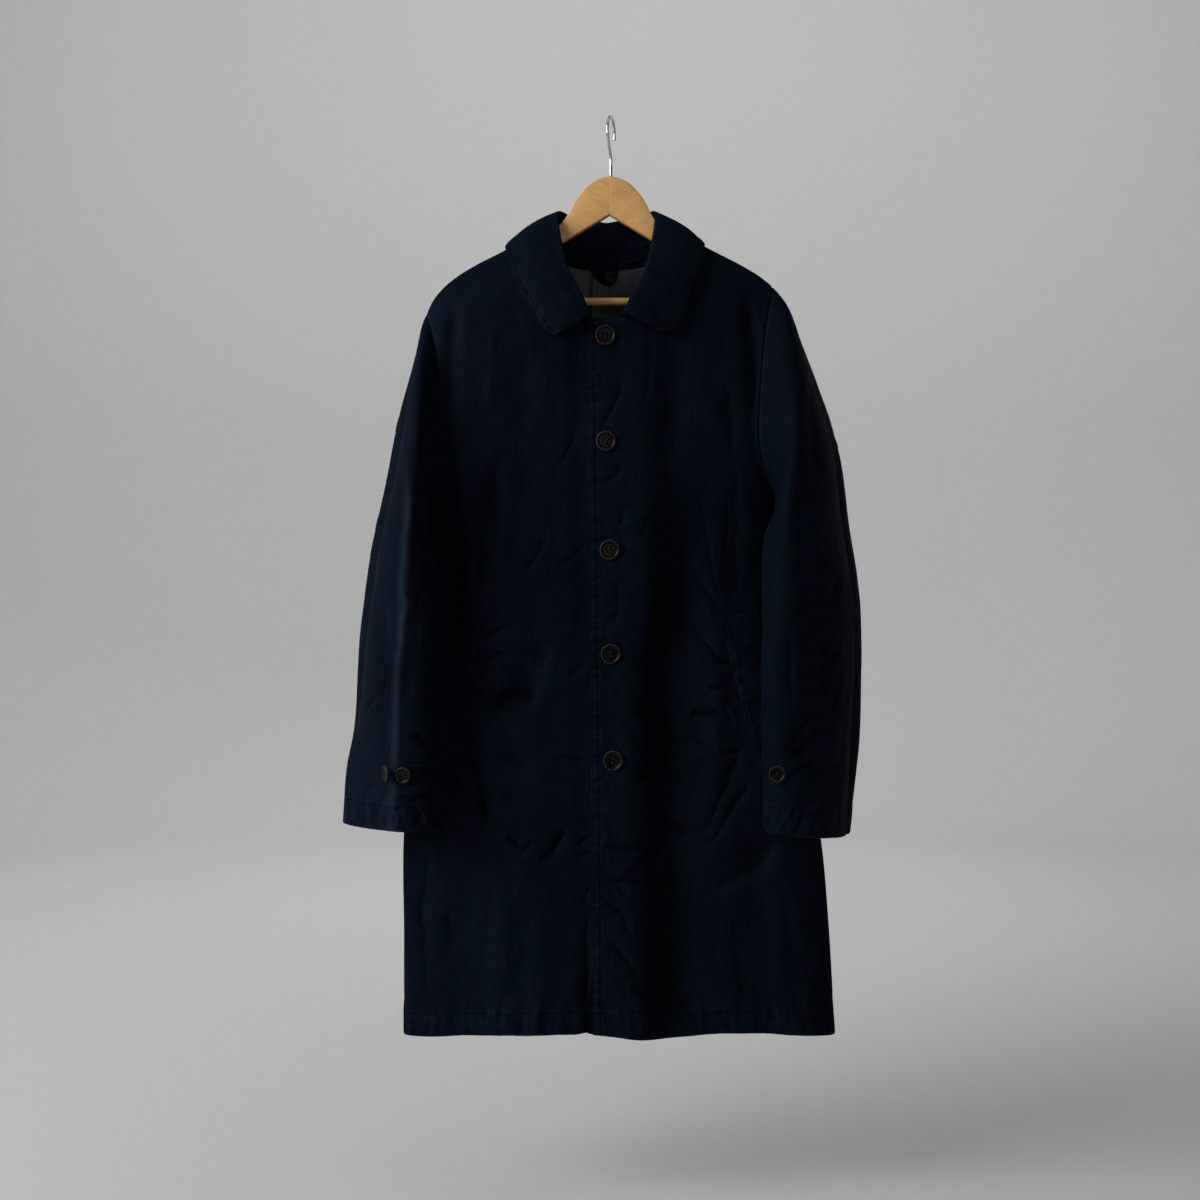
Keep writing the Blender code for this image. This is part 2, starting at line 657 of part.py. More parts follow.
def sleeve_points(side, shares, angles):
    """Points of the sleeve: every section is an oval on its outer, front, inner and back
    points, and the points at one angle run down the sleeve on a smooth curve."""
    rows = np.array(SLEEVES[side])
    outer, inner = rows[:, 0:3], rows[:, 3:6]
    middle = (outer + inner) / 2
    front = np.column_stack((rows[:, 6:8], middle[:, 2])) - middle
    back = np.column_stack((rows[:, 8:10], middle[:, 2])) - middle
    turn = angles[None]
    cosine, sine = np.cos(turn)[..., None], np.sin(turn)[..., None]
    inside_back = (cosine < 0) & (sine < 0)
    power = np.where(inside_back, INNER_BACK_SQUARE, 1.0)
    reach = np.sign(cosine) * np.abs(cosine) ** power
    depth = np.abs(sine) ** power
    shape = (len(rows),) + (1,) * angles.ndim + (3,)
    half = ((outer - inner) / 2).reshape(shape)
    to_front, to_back = front.reshape(shape), back.reshape(shape)
    ovals = middle.reshape(shape) + half * reach + np.where(sine > 0, to_front, to_back) * depth
    ring, _ = armhole_ring(side, angles)
    stack = np.concatenate((ring[None], ovals))
    keys = np.linspace(0.0, 1.0, len(stack))
    lines = np.empty(angles.shape + (3,))
    for row, share in enumerate(shares):
        lines[row] = hermite(keys, stack[:, row], np.array([share]))[0]
    return lines


def make_sleeve(side):
    """A sleeve in its two pieces, top and under."""
    shares = np.linspace(0.0, 1.0, SLEEVE_CELLS + 1)
    angles = sleeve_angles(side, shares)
    whole = sleeve_points(side, shares, angles)
    out = ring_out(whole) * (-1.0 if side == "right" else 1.0)
    _, out[0] = armhole_ring(side, angles[0])
    for piece, columns in (
        ("top", slice(0, TOP_SLEEVE_CELLS + 1)), ("under", slice(TOP_SLEEVE_CELLS, None))
    ):
        points = pull_in(whole[:, columns], ("top", "start", "end"))
        inner = points - WALL * out[:, columns]
        wall(f"sleeve_{side}_{piece}", points, inner, "navy cloth")


def collar_lines(finer):
    """Neck seam, roll and free edge of the collar, from the right leaf's end to the left's."""
    half = np.concatenate((front_shares(finer), back_shares(finer)[1:]))
    lines = {}
    for side in ("right", "left"):
        sign = -1.0 if side == "right" else 1.0
        neck_x, neck_z = neck_run(side, half)
        facing = half <= SHOULDER_SHARE
        neck_y = np.where(
            facing, body_y(neck_x, neck_z, "front"), body_y(neck_x, neck_z, "back")
        )
        roll_x = NECK_X + sign * table_curve(COLLAR, 3, half)
        roll = np.column_stack(
            (roll_x, table_curve(COLLAR, 4, half), table_curve(COLLAR, 5, half))
        )
        column = 6 if side == "right" else 8
        edge_x = NECK_X + sign * table_curve(COLLAR, column, half)
        edge_z = table_curve(COLLAR, column + 1, half)
        edge_y = np.where(
            facing, body_y(edge_x, edge_z, "front"), body_y(edge_x, edge_z, "back")
        )
        out = np.where(
            facing[:, None], body_out(edge_x, edge_z, "front"), body_out(edge_x, edge_z, "back")
        )
        lift = table_curve(COLLAR, 10, half)
        edge = np.column_stack((edge_x, edge_y, edge_z)) + (lift + WALL)[:, None] * out
        lines[side] = (np.column_stack((neck_x, neck_y, neck_z)), roll, edge)
    return [
        np.concatenate((lines["right"][k], lines["left"][k][-2::-1])) for k in range(3)
    ]


def make_collar():
    """The stand, up from the neck seam, and the fall, from the roll down over the shoulders."""
    _, roll, edge = collar_lines(FALL_FINER)
    down = np.linspace(0.0, 1.0, FALL_CELLS + 1)[:, None, None]
    straight = roll[None] + (edge - roll)[None] * down
    out = grid_out(straight)
    out *= np.sign(np.sum(out[1] * (roll - [NECK_X, 0.0, -0.25]), axis=-1))[None, :, None]
    fall = straight + FALL_BULGE * np.sin(np.pi * down) * out
    wall("collar_fall", fall, fall - WALL * out, "navy cloth")

    neck, roll, _ = collar_lines(1)
    inward = unit(np.column_stack((NECK_X - roll[:, 0], -roll[:, 1], np.zeros(len(roll)))))
    top = roll + STAND_INSET * inward
    up = np.linspace(0.0, 1.0, STAND_CELLS + 1)[:, None, None]
    foot = neck + (SEAM_GAP + 0.0002) * unit(top - neck)
    stand = foot[None] + (top - foot)[None] * up
    toward = np.broadcast_to(inward, stand.shape)
    wall("collar_stand", stand, stand + WALL * toward, "navy cloth")


# ---------------------------------------------------------------- small cloth pieces

def make_pocket(side):
    """A slanting welt on a front, made from the front's own faces moved out."""
    base = bpy.data.objects[f"front_{side}"]
    top_x, top_z, low_x, low_z, width, rise = POCKETS[side]
    u, v = np.meshgrid(np.linspace(0, 1, 3), np.linspace(0, 1, 9))
    x = top_x + (low_x - top_x) * v + width * u * (1.0 - 0.35 * v)
    z = top_z + (low_z - top_z) * v + rise * u
    outer, _ = lay_on(base, x, z, "front", WELT_OFF + WELT_WALL)
    inner, _ = lay_on(base, x, z, "front", WELT_OFF)
    return wall(f"pocket_welt_{side}", outer, inner, "navy cloth")


def sleeve_share_at(side, angle, height):
    """Share of the sleeve's length at which one of its lines comes to a height."""
    shares = np.linspace(0.5, 1.0, 101)
    line = sleeve_points(side, shares, np.full((101, 1), angle))[:, 0]
    return float(np.interp(-height, -line[:, 2], shares))


def make_strap(side):
    """A cuff strap that lies round the sleeve and ends in a point."""
    base, shoulder, tip, top_z, low_z, tip_z = STRAPS[side]
    turns = np.radians(np.concatenate((np.linspace(base, shoulder, 9), [tip])))
    grid = np.empty((4, len(turns), 3))
    for column, turn in enumerate(turns):
        high, low = (tip_z + 0.002, tip_z - 0.002) if column == len(turns) - 1 else (top_z, low_z)
        heights = np.linspace(high, low, 4)
        shares = np.array([sleeve_share_at(side, turn, height) for height in heights])
        angles = np.full((4, 1), turn)
        grid[:, column] = sleeve_points(side, shares, angles)[:, 0]
    out = grid_out(grid)
    middle = np.array(SLEEVES[side][-2][0:3]) / 2 + np.array(SLEEVES[side][-2][3:6]) / 2
    out *= np.sign(np.sum(out * (grid - middle), axis=-1))[..., None]
    near = grid + STRAP_OFF * out
    return wall(f"cuff_strap_{side}", near + STRAP_WALL * out, near, "navy cloth")


def make_neck_tab():
    """The tab inside the neck: its sides draw in to a rounded end, and it leans to the left."""
    u, v = np.meshgrid(np.linspace(-1, 1, 9), np.linspace(0, 1, 7))
    top_x, top_z, top_half, low_x, low_z, low_half = NECK_TAB
    half = top_half + (low_half - top_half) * v
    rounded = 1.0 - np.clip((v - 0.55) / 0.45, 0.0, 0.94) ** 2
    x = top_x + (low_x - top_x) * v + half * np.sqrt(rounded) * u
    z = top_z + (low_z - top_z) * v
    base = bpy.data.objects["back"]
    inner, _ = lay_on(base, x, z, "front", TAB_OFF)
    outer, _ = lay_on(base, x, z, "front", TAB_OFF + WALL)
    return wall("neck_tab", outer, inner, "navy cloth")


def make_hanger_loop():
    """The loop at the neck seam: a strip that sags a little between its two sewn ends."""
    u, v = np.meshgrid(np.linspace(0, 1, 9), [1.0, -1.0])
    start_x, end_x, z, sag, half = HANGER_LOOP
    x = start_x + (end_x - start_x) * u
    height = z - sag * np.sin(np.pi * u) + half * v
    base = bpy.data.objects["back"]
    inner, outs = lay_on(base, x, height, "front", TAB_OFF)
    away = np.array(outs).reshape(inner.shape) * (0.5 * sag * np.sin(np.pi * u))[..., None]
    thick = np.array(outs).reshape(inner.shape) * LINING_WALL
    inner = inner + away
    return wall("hanger_loop", inner + thick, inner, "navy cloth")


# ---------------------------------------------------------------- buttons

def make_button(name, radius, foot, out, back, axis):
    """A turned button: a raised rim round a dished middle, on a thread shank that rises from
    its foot on the cloth to the middle of the button's back."""
    thick = radius * 0.28
    profile = (
        # radius, height above the back
        (0.25, 0.0),
        (0.80, 0.0),
        (1.00, 0.5),
        (0.92, 1.0),
        (0.80, 1.0),
        (0.62, 0.6),
    )
    turns = 2 * np.pi * np.arange(BUTTON_SIDES) / BUTTON_SIDES
    round_x, round_y = np.cos(turns)[:, None], np.sin(turns)[:, None]
    points = []
    for middle, way, rings in ((foot, out, profile[:1]), (back, axis, profile)):
        turned = np.array(Vector(way).to_track_quat("Z", "Y").to_matrix())
        for reach, height in rings:
            ring = radius * reach * (round_x * turned[:, 0] + round_y * turned[:, 1])
            points.extend(np.array(middle) + ring + thick * height * turned[:, 2])
    count = BUTTON_SIDES
    rows = len(profile) + 1
    faces = [
        (row * count + i, row * count + (i + 1) % count,
         (row + 1) * count + (i + 1) % count, (row + 1) * count + i)
        for row in range(rows - 1) for i in range(count)
    ]
    faces.append(tuple(range(count))[::-1])
    faces.append(tuple(range((rows - 1) * count, rows * count)))
    return make_object(name, points, faces, "horn", smooth=True)


def button_on(name, radius, base, x, z):
    """A button sewn flat on the face of a piece."""
    points, outs = lay_on(base, np.array([x]), np.array([z]), "front", SEAM_GAP)
    back = points[0] + np.array(outs[0]) * BUTTON_SHANK
    return make_button(name, radius, points[0], outs[0], back, outs[0])


def make_cuff_button(number, base):
    """A cuff button, which may stand off its cloth and lean over on its thread."""
    x, z, lean, stand = CUFF_BUTTONS[number]
    points, outs = lay_on(base, np.array([x]), np.array([z]), "front", SEAM_GAP)
    turn = math.radians(lean)
    axis = np.array([-math.sin(turn), -math.cos(turn), 0.0])
    back = points[0] + np.array([-0.35 * stand * math.sin(turn), -stand, 0.0])
    name = f"cuff_button_{number}"
    return make_button(name, CUFF_BUTTON_RADIUS, points[0], outs[0], back, axis)


# ---------------------------------------------------------------- the hanger

def make_arm(side):
    """Half of the flat hanger: its outline with chamfered edges, front and back."""
    sign = -1.0 if side == "right" else 1.0
    reach = np.array([row[0] for row in HANGER])
    top = np.array([row[1] for row in HANGER])
    low = np.array([row[2] for row in HANGER])
    outline = np.concatenate((
        np.column_stack((reach, top)), np.column_stack((reach, low))[::-1]
    ))
    middle = np.column_stack((reach, (top + low) / 2))
    centre = np.concatenate((middle, middle[::-1]))
    inner = outline + ARM_CHAMFER * unit(centre - outline)
    inner[[0, -1], 0] = outline[[0, -1], 0]
    layers = (
        (inner, -ARM_HALF), (outline, ARM_CHAMFER - ARM_HALF),
        (outline, ARM_HALF - ARM_CHAMFER), (inner, ARM_HALF),
    )
    points = [(HANGER_X + sign * x, y, z) for line, y in layers for x, z in line]
    count = len(outline)
    faces = [
        (k * count + i, k * count + (i + 1) % count,
         (k + 1) * count + (i + 1) % count, (k + 1) * count + i)
        for k in range(3) for i in range(count)
    ]
    rows = len(HANGER)
    for base in (0, 3 * count):
        for i in range(rows - 1):
            faces.append((base + i, base + i + 1, base + count - 2 - i, base + count - 1 - i))
    return make_object(f"hanger_arm_{side}", points, faces, "pale wood")


def tube(name, path, radius, sides, finish):
    """A round bar along a line of points, closed at both ends."""
    path = np.array(path)
    ahead = unit(np.gradient(path, axis=0))
    across = unit(np.cross(ahead, np.cross(ahead[0] + [0.1, 0.2, 0.3], ahead[0])))
    rings = []
    for place, way, side in zip(path, ahead, across):
        other = np.cross(way, side)
        for k in range(sides):
            turn = 2 * math.pi * k / sides
            rings.append(place + radius * (math.cos(turn) * side + math.sin(turn) * other))
    faces = [
        (row * sides + i, row * sides + (i + 1) % sides,
         (row + 1) * sides + (i + 1) % sides, (row + 1) * sides + i)
        for row in range(len(path) - 1) for i in range(sides)
    ]
    faces.append(tuple(range(sides))[::-1])
    faces.append(tuple(range((len(path) - 1) * sides, len(path) * sides)))
    return make_object(name, rings, faces, finish, smooth=True)


def make_hook():
    """The wire hook: a shank up from the hanger, and a round bend over the rail."""
    centre_z = WIRE - HOOK_RADIUS
    turns = np.linspace(HOOK_TIP, HOOK_BEND, 17)
    bend = [(HOOK_RADIUS * math.cos(t), centre_z + HOOK_RADIUS * math.sin(t)) for t in turns]
    foot = HANGER[0][1] + 0.0004
    bend += [(-0.0060, -0.0420), (-0.0010, -0.0480), (0.0, -0.0540), (0.0, foot)]
    path = [
        (depth * math.sin(HOOK_TURN), depth * math.cos(HOOK_TURN), z) for depth, z in bend
    ]
    return tube("hanger_hook", path, WIRE, 8, "chrome")


def make_bar():
    """The trouser bar, between the two arms."""
    path = [(HANGER_X + x, 0.0, BAR_Z) for x in (-BAR_HALF, -BAR_HALF / 3, BAR_HALF / 3, BAR_HALF)]
    return tube("hanger_bar", path, BAR_RADIUS, 12, "pale wood")


# ---------------------------------------------------------------- the coat

def main():
    for made in list(bpy.data.objects):
        bpy.data.objects.remove(made, do_unlink=True)
    for side in ("right", "left"):
        make_front(side)
        make_sleeve(side)
        make_arm(side)
    make_back()
    make_collar()
    for side in ("right", "left"):
        make_pocket(side)
        make_strap(side)
    made = bpy.data.objects
    for number, (x, z) in enumerate(FRONT_BUTTONS, 1):
        button_on(f"front_button_{number}", BUTTON_RADIUS, made["front_left"], x, z)
    strap = made["cuff_strap_right"]
    button_on("cuff_button_right_1", CUFF_BUTTON_RADIUS, strap, *STRAP_BUTTON)
    make_cuff_button("right_2", made["sleeve_right_top"])
    make_cuff_button("left_1", made["sleeve_left_top"])
    make_neck_tab()
    make_hanger_loop()
    button_on("neck_tab_button", TAB_BUTTON_RADIUS, made["neck_tab"], *TAB_BUTTON)
    make_bar()
    make_hook()


main()
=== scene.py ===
"""Looks of a car coat on its hanger: fine cloth with its creases, stitching, buttons and wood.

Left and right are the wearer's: the left front is at +X. The front faces -Y and +Z is up.
Lengths are metres, apart from the crease tables, which are in millimetres.
"""
import math

import bpy
import numpy as np
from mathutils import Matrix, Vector


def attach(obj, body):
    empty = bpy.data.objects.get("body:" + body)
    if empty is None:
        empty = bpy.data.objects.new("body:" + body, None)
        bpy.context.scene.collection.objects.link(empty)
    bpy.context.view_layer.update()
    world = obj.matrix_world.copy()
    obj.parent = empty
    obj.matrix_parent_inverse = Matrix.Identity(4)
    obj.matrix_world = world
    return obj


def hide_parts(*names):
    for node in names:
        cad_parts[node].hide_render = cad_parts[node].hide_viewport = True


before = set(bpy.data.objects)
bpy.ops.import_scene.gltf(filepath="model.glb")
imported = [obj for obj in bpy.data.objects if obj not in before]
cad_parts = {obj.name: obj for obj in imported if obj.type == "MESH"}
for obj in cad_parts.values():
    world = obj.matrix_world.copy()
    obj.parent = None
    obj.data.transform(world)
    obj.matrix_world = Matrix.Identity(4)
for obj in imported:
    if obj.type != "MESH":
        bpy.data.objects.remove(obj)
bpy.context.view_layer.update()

# ---- sizes, as in the frame

WALL = 0.0016
LINING_WALL = 0.001
SEAM_GAP = 0.0005
LAP_SINK = 0.0032
LAP_EASE = 0.03
SHOULDER_X = -0.003
NECK_X = -0.0055
UNDERARM_Z = -0.465
SIDE_BACK = 0.01
SIDE_BACK_DROP = 0.25
SIDE_ROUND = 0.6
FRONT_RISE = 0.16
BACK_RISE = 0.12
NECK_EASE = 0.0007
FACING_DROP = 0.0219

SHOULDER = (
    # reach, height
    (0.0, -0.1),
    (0.08, -0.137),
    (0.134, -0.1649),
    (0.163, -0.1797),
    (0.187, -0.1944),
    (0.2045, -0.2092),
    (0.216, -0.2239),
    (0.2245, -0.2414),
)
BODY = (
    # height, right edge, left edge, forward, backward, squareness
    (-0.1, -0.25, 0.236, 0.046, 0.044, 4.5),
    (-0.33, -0.25, 0.236, 0.047, 0.045, 4.5),
    (-0.42, -0.241, 0.222, 0.049, 0.046, 4.0),
    (UNDERARM_Z, -0.228, 0.208, 0.049, 0.046, 3.2),
    (-0.6, -0.232, 0.213, 0.047, 0.046, 2.9),
    (-0.7, -0.24, 0.224, 0.046, 0.046, 2.8),
    (-0.8, -0.25, 0.244, 0.045, 0.046, 2.8),
    (-0.89, -0.2565, 0.2603, 0.045, 0.047, 2.6),
    (-1.0, -0.256, 0.27, 0.045, 0.048, 2.5),
    (-1.14, -0.256, 0.2776, 0.046, 0.05, 2.4),
)
NECK_REACH = 0.08
SHOULDER_TIP_REACH = {"right": 0.2244, "left": 0.202}
# Which way each side lies from the middle, and its column in the tables BODY and ARMHOLE.
SIGN = {"right": -1.0, "left": 1.0}
COLUMN = {"right": 1, "left": 2}
ARMHOLE = (
    # share of the drop, right inset, left inset
    (0.0, 0.0, 0.0),
    (0.15, 0.011, 0.01),
    (0.35, 0.016, 0.019),
    (0.55, 0.017, 0.024),
    (0.72, 0.018, 0.0265),
    (0.87, 0.014, 0.02),
    (0.96, 0.0065, 0.009),
    (1.0, 0.0, 0.0),
)
SIDE_HEM_Z = -1.1255
HEM = (
    # across, front height, back height
    (-0.256, SIDE_HEM_Z, SIDE_HEM_Z),
    (-0.14, -1.117, -1.129),
    (-0.02, -1.1145, -1.13),
    (0.055, -1.1215, -1.129),
    (0.15, -1.116, -1.128),
    (0.2776, SIDE_HEM_Z, SIDE_HEM_Z),
)
LAP_EDGE_TOP = (-0.029, -0.2545)
LAP_EDGE_HEM_X = -0.0207
UNDER_LAP = 0.043
NECK_EDGE_Z = -0.25
LAP_HEIGHT = 0.87
FRONT_FOLDS = (
    # top x, top z, bottom x, bottom z, half width, depth
    (0.0585, -0.5, 0.0729, -1.15, 0.024, 0.011),
    (0.0165, -0.56, 0.025, -1.15, 0.018, -0.005),
    (-0.1875, -0.44, -0.1875, -0.88, 0.013, 0.008),
    (-0.1455, -0.42, -0.143, -0.62, 0.011, 0.004),
    (-0.19, -0.215, -0.198, -0.38, 0.009, 0.006),
    (0.164, -0.2, 0.177, -0.38, 0.009, 0.006),
    (0.125, -0.42, 0.13, -1.0, 0.02, -0.005),
    (-0.09, -0.62, -0.098, -1.16, 0.026, -0.005),
    (0.175, -0.82, 0.19, -1.16, 0.022, 0.007),
    (-0.175, -0.88, -0.18, -1.16, 0.022, 0.005),
)
BACK_FOLDS = (
    (-0.145, -0.3, -0.155, -1.16, 0.024, 0.009),
    (0.13, -0.32, 0.145, -1.16, 0.026, 0.01),
    (-0.07, -0.42, -0.085, -1.16, 0.024, -0.006),
    (0.03, -0.36, 0.035, -1.16, 0.026, 0.007),
    (0.08, -0.52, 0.09, -1.16, 0.02, -0.006),
)
SLEEVES = {
    "right": (
        # outer x, y, z, inner x, y, z, front x, y, back x, y
        (-0.2345, 0.004, -0.268, -0.2205, -0.014, -0.492, -0.226, -0.07, -0.242, 0.062),
        (-0.24, 0.008, -0.33, -0.217, -0.04, -0.52, -0.241, -0.088, -0.27, 0.066),
        (-0.2575, 0.01, -0.425, -0.2065, -0.05, -0.56, -0.2445, -0.093, -0.28, 0.06),
        (-0.283, 0.006, -0.52, -0.206, -0.055, -0.62, -0.247, -0.096, -0.287, 0.046),
        (-0.3, 0.0, -0.63, -0.206, -0.06, -0.695, -0.249, -0.098, -0.29, 0.032),
        (-0.3085, -0.008, -0.735, -0.2055, -0.064, -0.765, -0.251, -0.096, -0.287, 0.018),
        (-0.3215, -0.016, -0.8, -0.204, -0.066, -0.818, -0.2525, -0.092, -0.279, 0.006),
        (-0.3252, -0.02, -0.862, -0.2045, -0.066, -0.865, -0.2535, -0.09, -0.272, -0.006),
    ),
    "left": (
        (0.221, 0.004, -0.24, 0.195, -0.026, -0.489, 0.208, -0.072, 0.225, 0.062),
        (0.244, 0.008, -0.31, 0.183, -0.047, -0.518, 0.218, -0.09, 0.255, 0.066),
        (0.2715, 0.01, -0.4, 0.1805, -0.051, -0.56, 0.222, -0.096, 0.27, 0.062),
        (0.2825, 0.008, -0.49, 0.18, -0.055, -0.62, 0.224, -0.1, 0.276, 0.048),
        (0.297, 0.002, -0.585, 0.1795, -0.058, -0.685, 0.226, -0.101, 0.279, 0.034),
        (0.297, -0.004, -0.69, 0.18, -0.062, -0.76, 0.228, -0.099, 0.279, 0.022),
        (0.2925, -0.01, -0.78, 0.181, -0.064, -0.815, 0.229, -0.095, 0.275, 0.01),
        (0.2865, -0.016, -0.877, 0.182, -0.066, -0.864, 0.229, -0.092, 0.26, -0.004),
    ),
}
INNER_BACK_SQUARE = 1.2
SLEEVE_SEAMS = {
    # share of the length, hindarm seam, forearm seam, in degrees round the sleeve
    "right": ((0.0, -67.5, 157.5), (0.45, -35.0, 175.0), (1.0, 18.0, 195.0)),
    "left": ((0.0, -67.5, 157.5), (0.45, -15.0, 178.0), (1.0, 48.0, 205.0)),
}
COLLAR = (
    # share, neck across, neck z, roll across, roll y, roll z,
    # right leaf edge across, z, left leaf edge across, z, lift of the edge off the body
    (0.0, 0.019, -0.25, 0.0195, -0.059, -0.2465, 0.0463, -0.267, 0.0637, -0.2676, 0.005),
    (0.06, 0.026, -0.244, 0.0235, -0.0595, -0.24, 0.0618, -0.2742, 0.0799, -0.2694, 0.005),
    (0.14, 0.037, -0.233, 0.029, -0.0585, -0.2283, 0.074, -0.268, 0.0901, -0.257, 0.0045),
    (0.28, 0.056, -0.204, 0.047, -0.05, -0.195, 0.087, -0.246, 0.0985, -0.229, 0.004),
    (0.45, 0.071, -0.17, 0.057, -0.033, -0.159, 0.1095, -0.2104, 0.1085, -0.1993, 0.0044),
    (0.62, 0.08, -0.137, 0.063, -0.005, -0.116, 0.1205, -0.159, 0.1173, -0.1575, 0.0045),
    (0.8, 0.048, -0.153, 0.043, 0.033, -0.114, 0.085, -0.175, 0.083, -0.175, 0.0045),
    (1.0, 0.0, -0.159, 0.0, 0.044, -0.1196, 0.0, -0.172, 0.0, -0.172, 0.006),
)
SHOULDER_SHARE = 0.62
FALL_BULGE = 0.005
ROLL_RADIUS = 0.0023
POCKETS = {
    # front edge's top x, z and bottom x, z, then the width across and its rise
    "right": (-0.1561, -0.6128, -0.1851, -0.8061, -0.048, 0.014),
    "left": (0.1376, -0.6152, 0.1811, -0.8025, 0.043, 0.014),
}
STRAPS = {
    # base angle, shoulder angle, tip angle, top z, bottom z, tip z
    "right": (212.0, 103.0, 88.0, -0.773, -0.821, -0.797),
    "left": (282.0, 200.0, 180.0, -0.773, -0.821, -0.797),
}
TAB_OFF = 2 * SEAM_GAP + NECK_EASE + LINING_WALL
NECK_TAB = (-0.0128, -0.1635, 0.02, -0.0035, -0.198, 0.014)
HANGER_LOOP = (0.01, 0.04, -0.164, 0.005, 0.002)
HANGER_X = -0.0015
ARM_HALF = 0.006
HANGER = (
    # reach, top, bottom
    (0.0003, -0.0709, -0.1193),
    (0.015, -0.075, -0.1281),
    (0.0295, -0.085, -0.1367),
    (0.042, -0.101, -0.1442),
    (0.0515, -0.1185, -0.1498),
    (0.06, -0.1295, -0.1548),
    (0.069, -0.137, -0.1601),
    (0.08, -0.145, -0.1672),
    (0.086, -0.148, -0.1706),
    (0.11, -0.1585, -0.185),
    (0.137, -0.1725, -0.204),
    (0.163, -0.186, -0.225),
    (0.185, -0.2008, -0.239),
    (0.196, -0.2105, -0.2385),
    (0.201, -0.219, -0.23),
)
BAR_Z = -0.2247
BAR_RADIUS = 0.0048
BAR_HALF = 0.156
WIRE = 0.0019
HOOK_RADIUS = 0.02
HOOK_TURN = math.radians(13.0)
HOOK_TIP = -12.0
HOOK_BEND = 222.0
STAND_INSET = 0.003
WELT_WALL = 0.0012
WELT_OFF = 0.001
STRAP_WALL = 0.0016
STRAP_OFF = 0.001
LINING_DROP = 0.253
LINING_SEAM_X = -0.0038
TAB_BUTTON = (-0.002, -0.1885)
BUTTON_RADIUS = 0.012
CUFF_BUTTON_RADIUS = 0.0095
TAB_BUTTON_RADIUS = 0.0062
BUTTON_SHANK = 0.0012
FRONT_BUTTONS = (
    (-0.0075, -0.2722),
    (-0.0063, -0.4002),
    (-0.0027, -0.5298),
    (-0.0003, -0.6558),
    (0.0027, -0.783),
)
STRAP_BUTTON = (-0.2427, -0.7959)
CUFF_BUTTONS = {
    # place across, height, lean to the viewer's left, stand off the cloth
    "right_2": (-0.2605, -0.7956, 64.0, 0.0088),
    "left_1": (0.1945, -0.794, 8.0, 0.0022),
}
ARM_ROUND = 0.003

# ---- creases, in millimetres

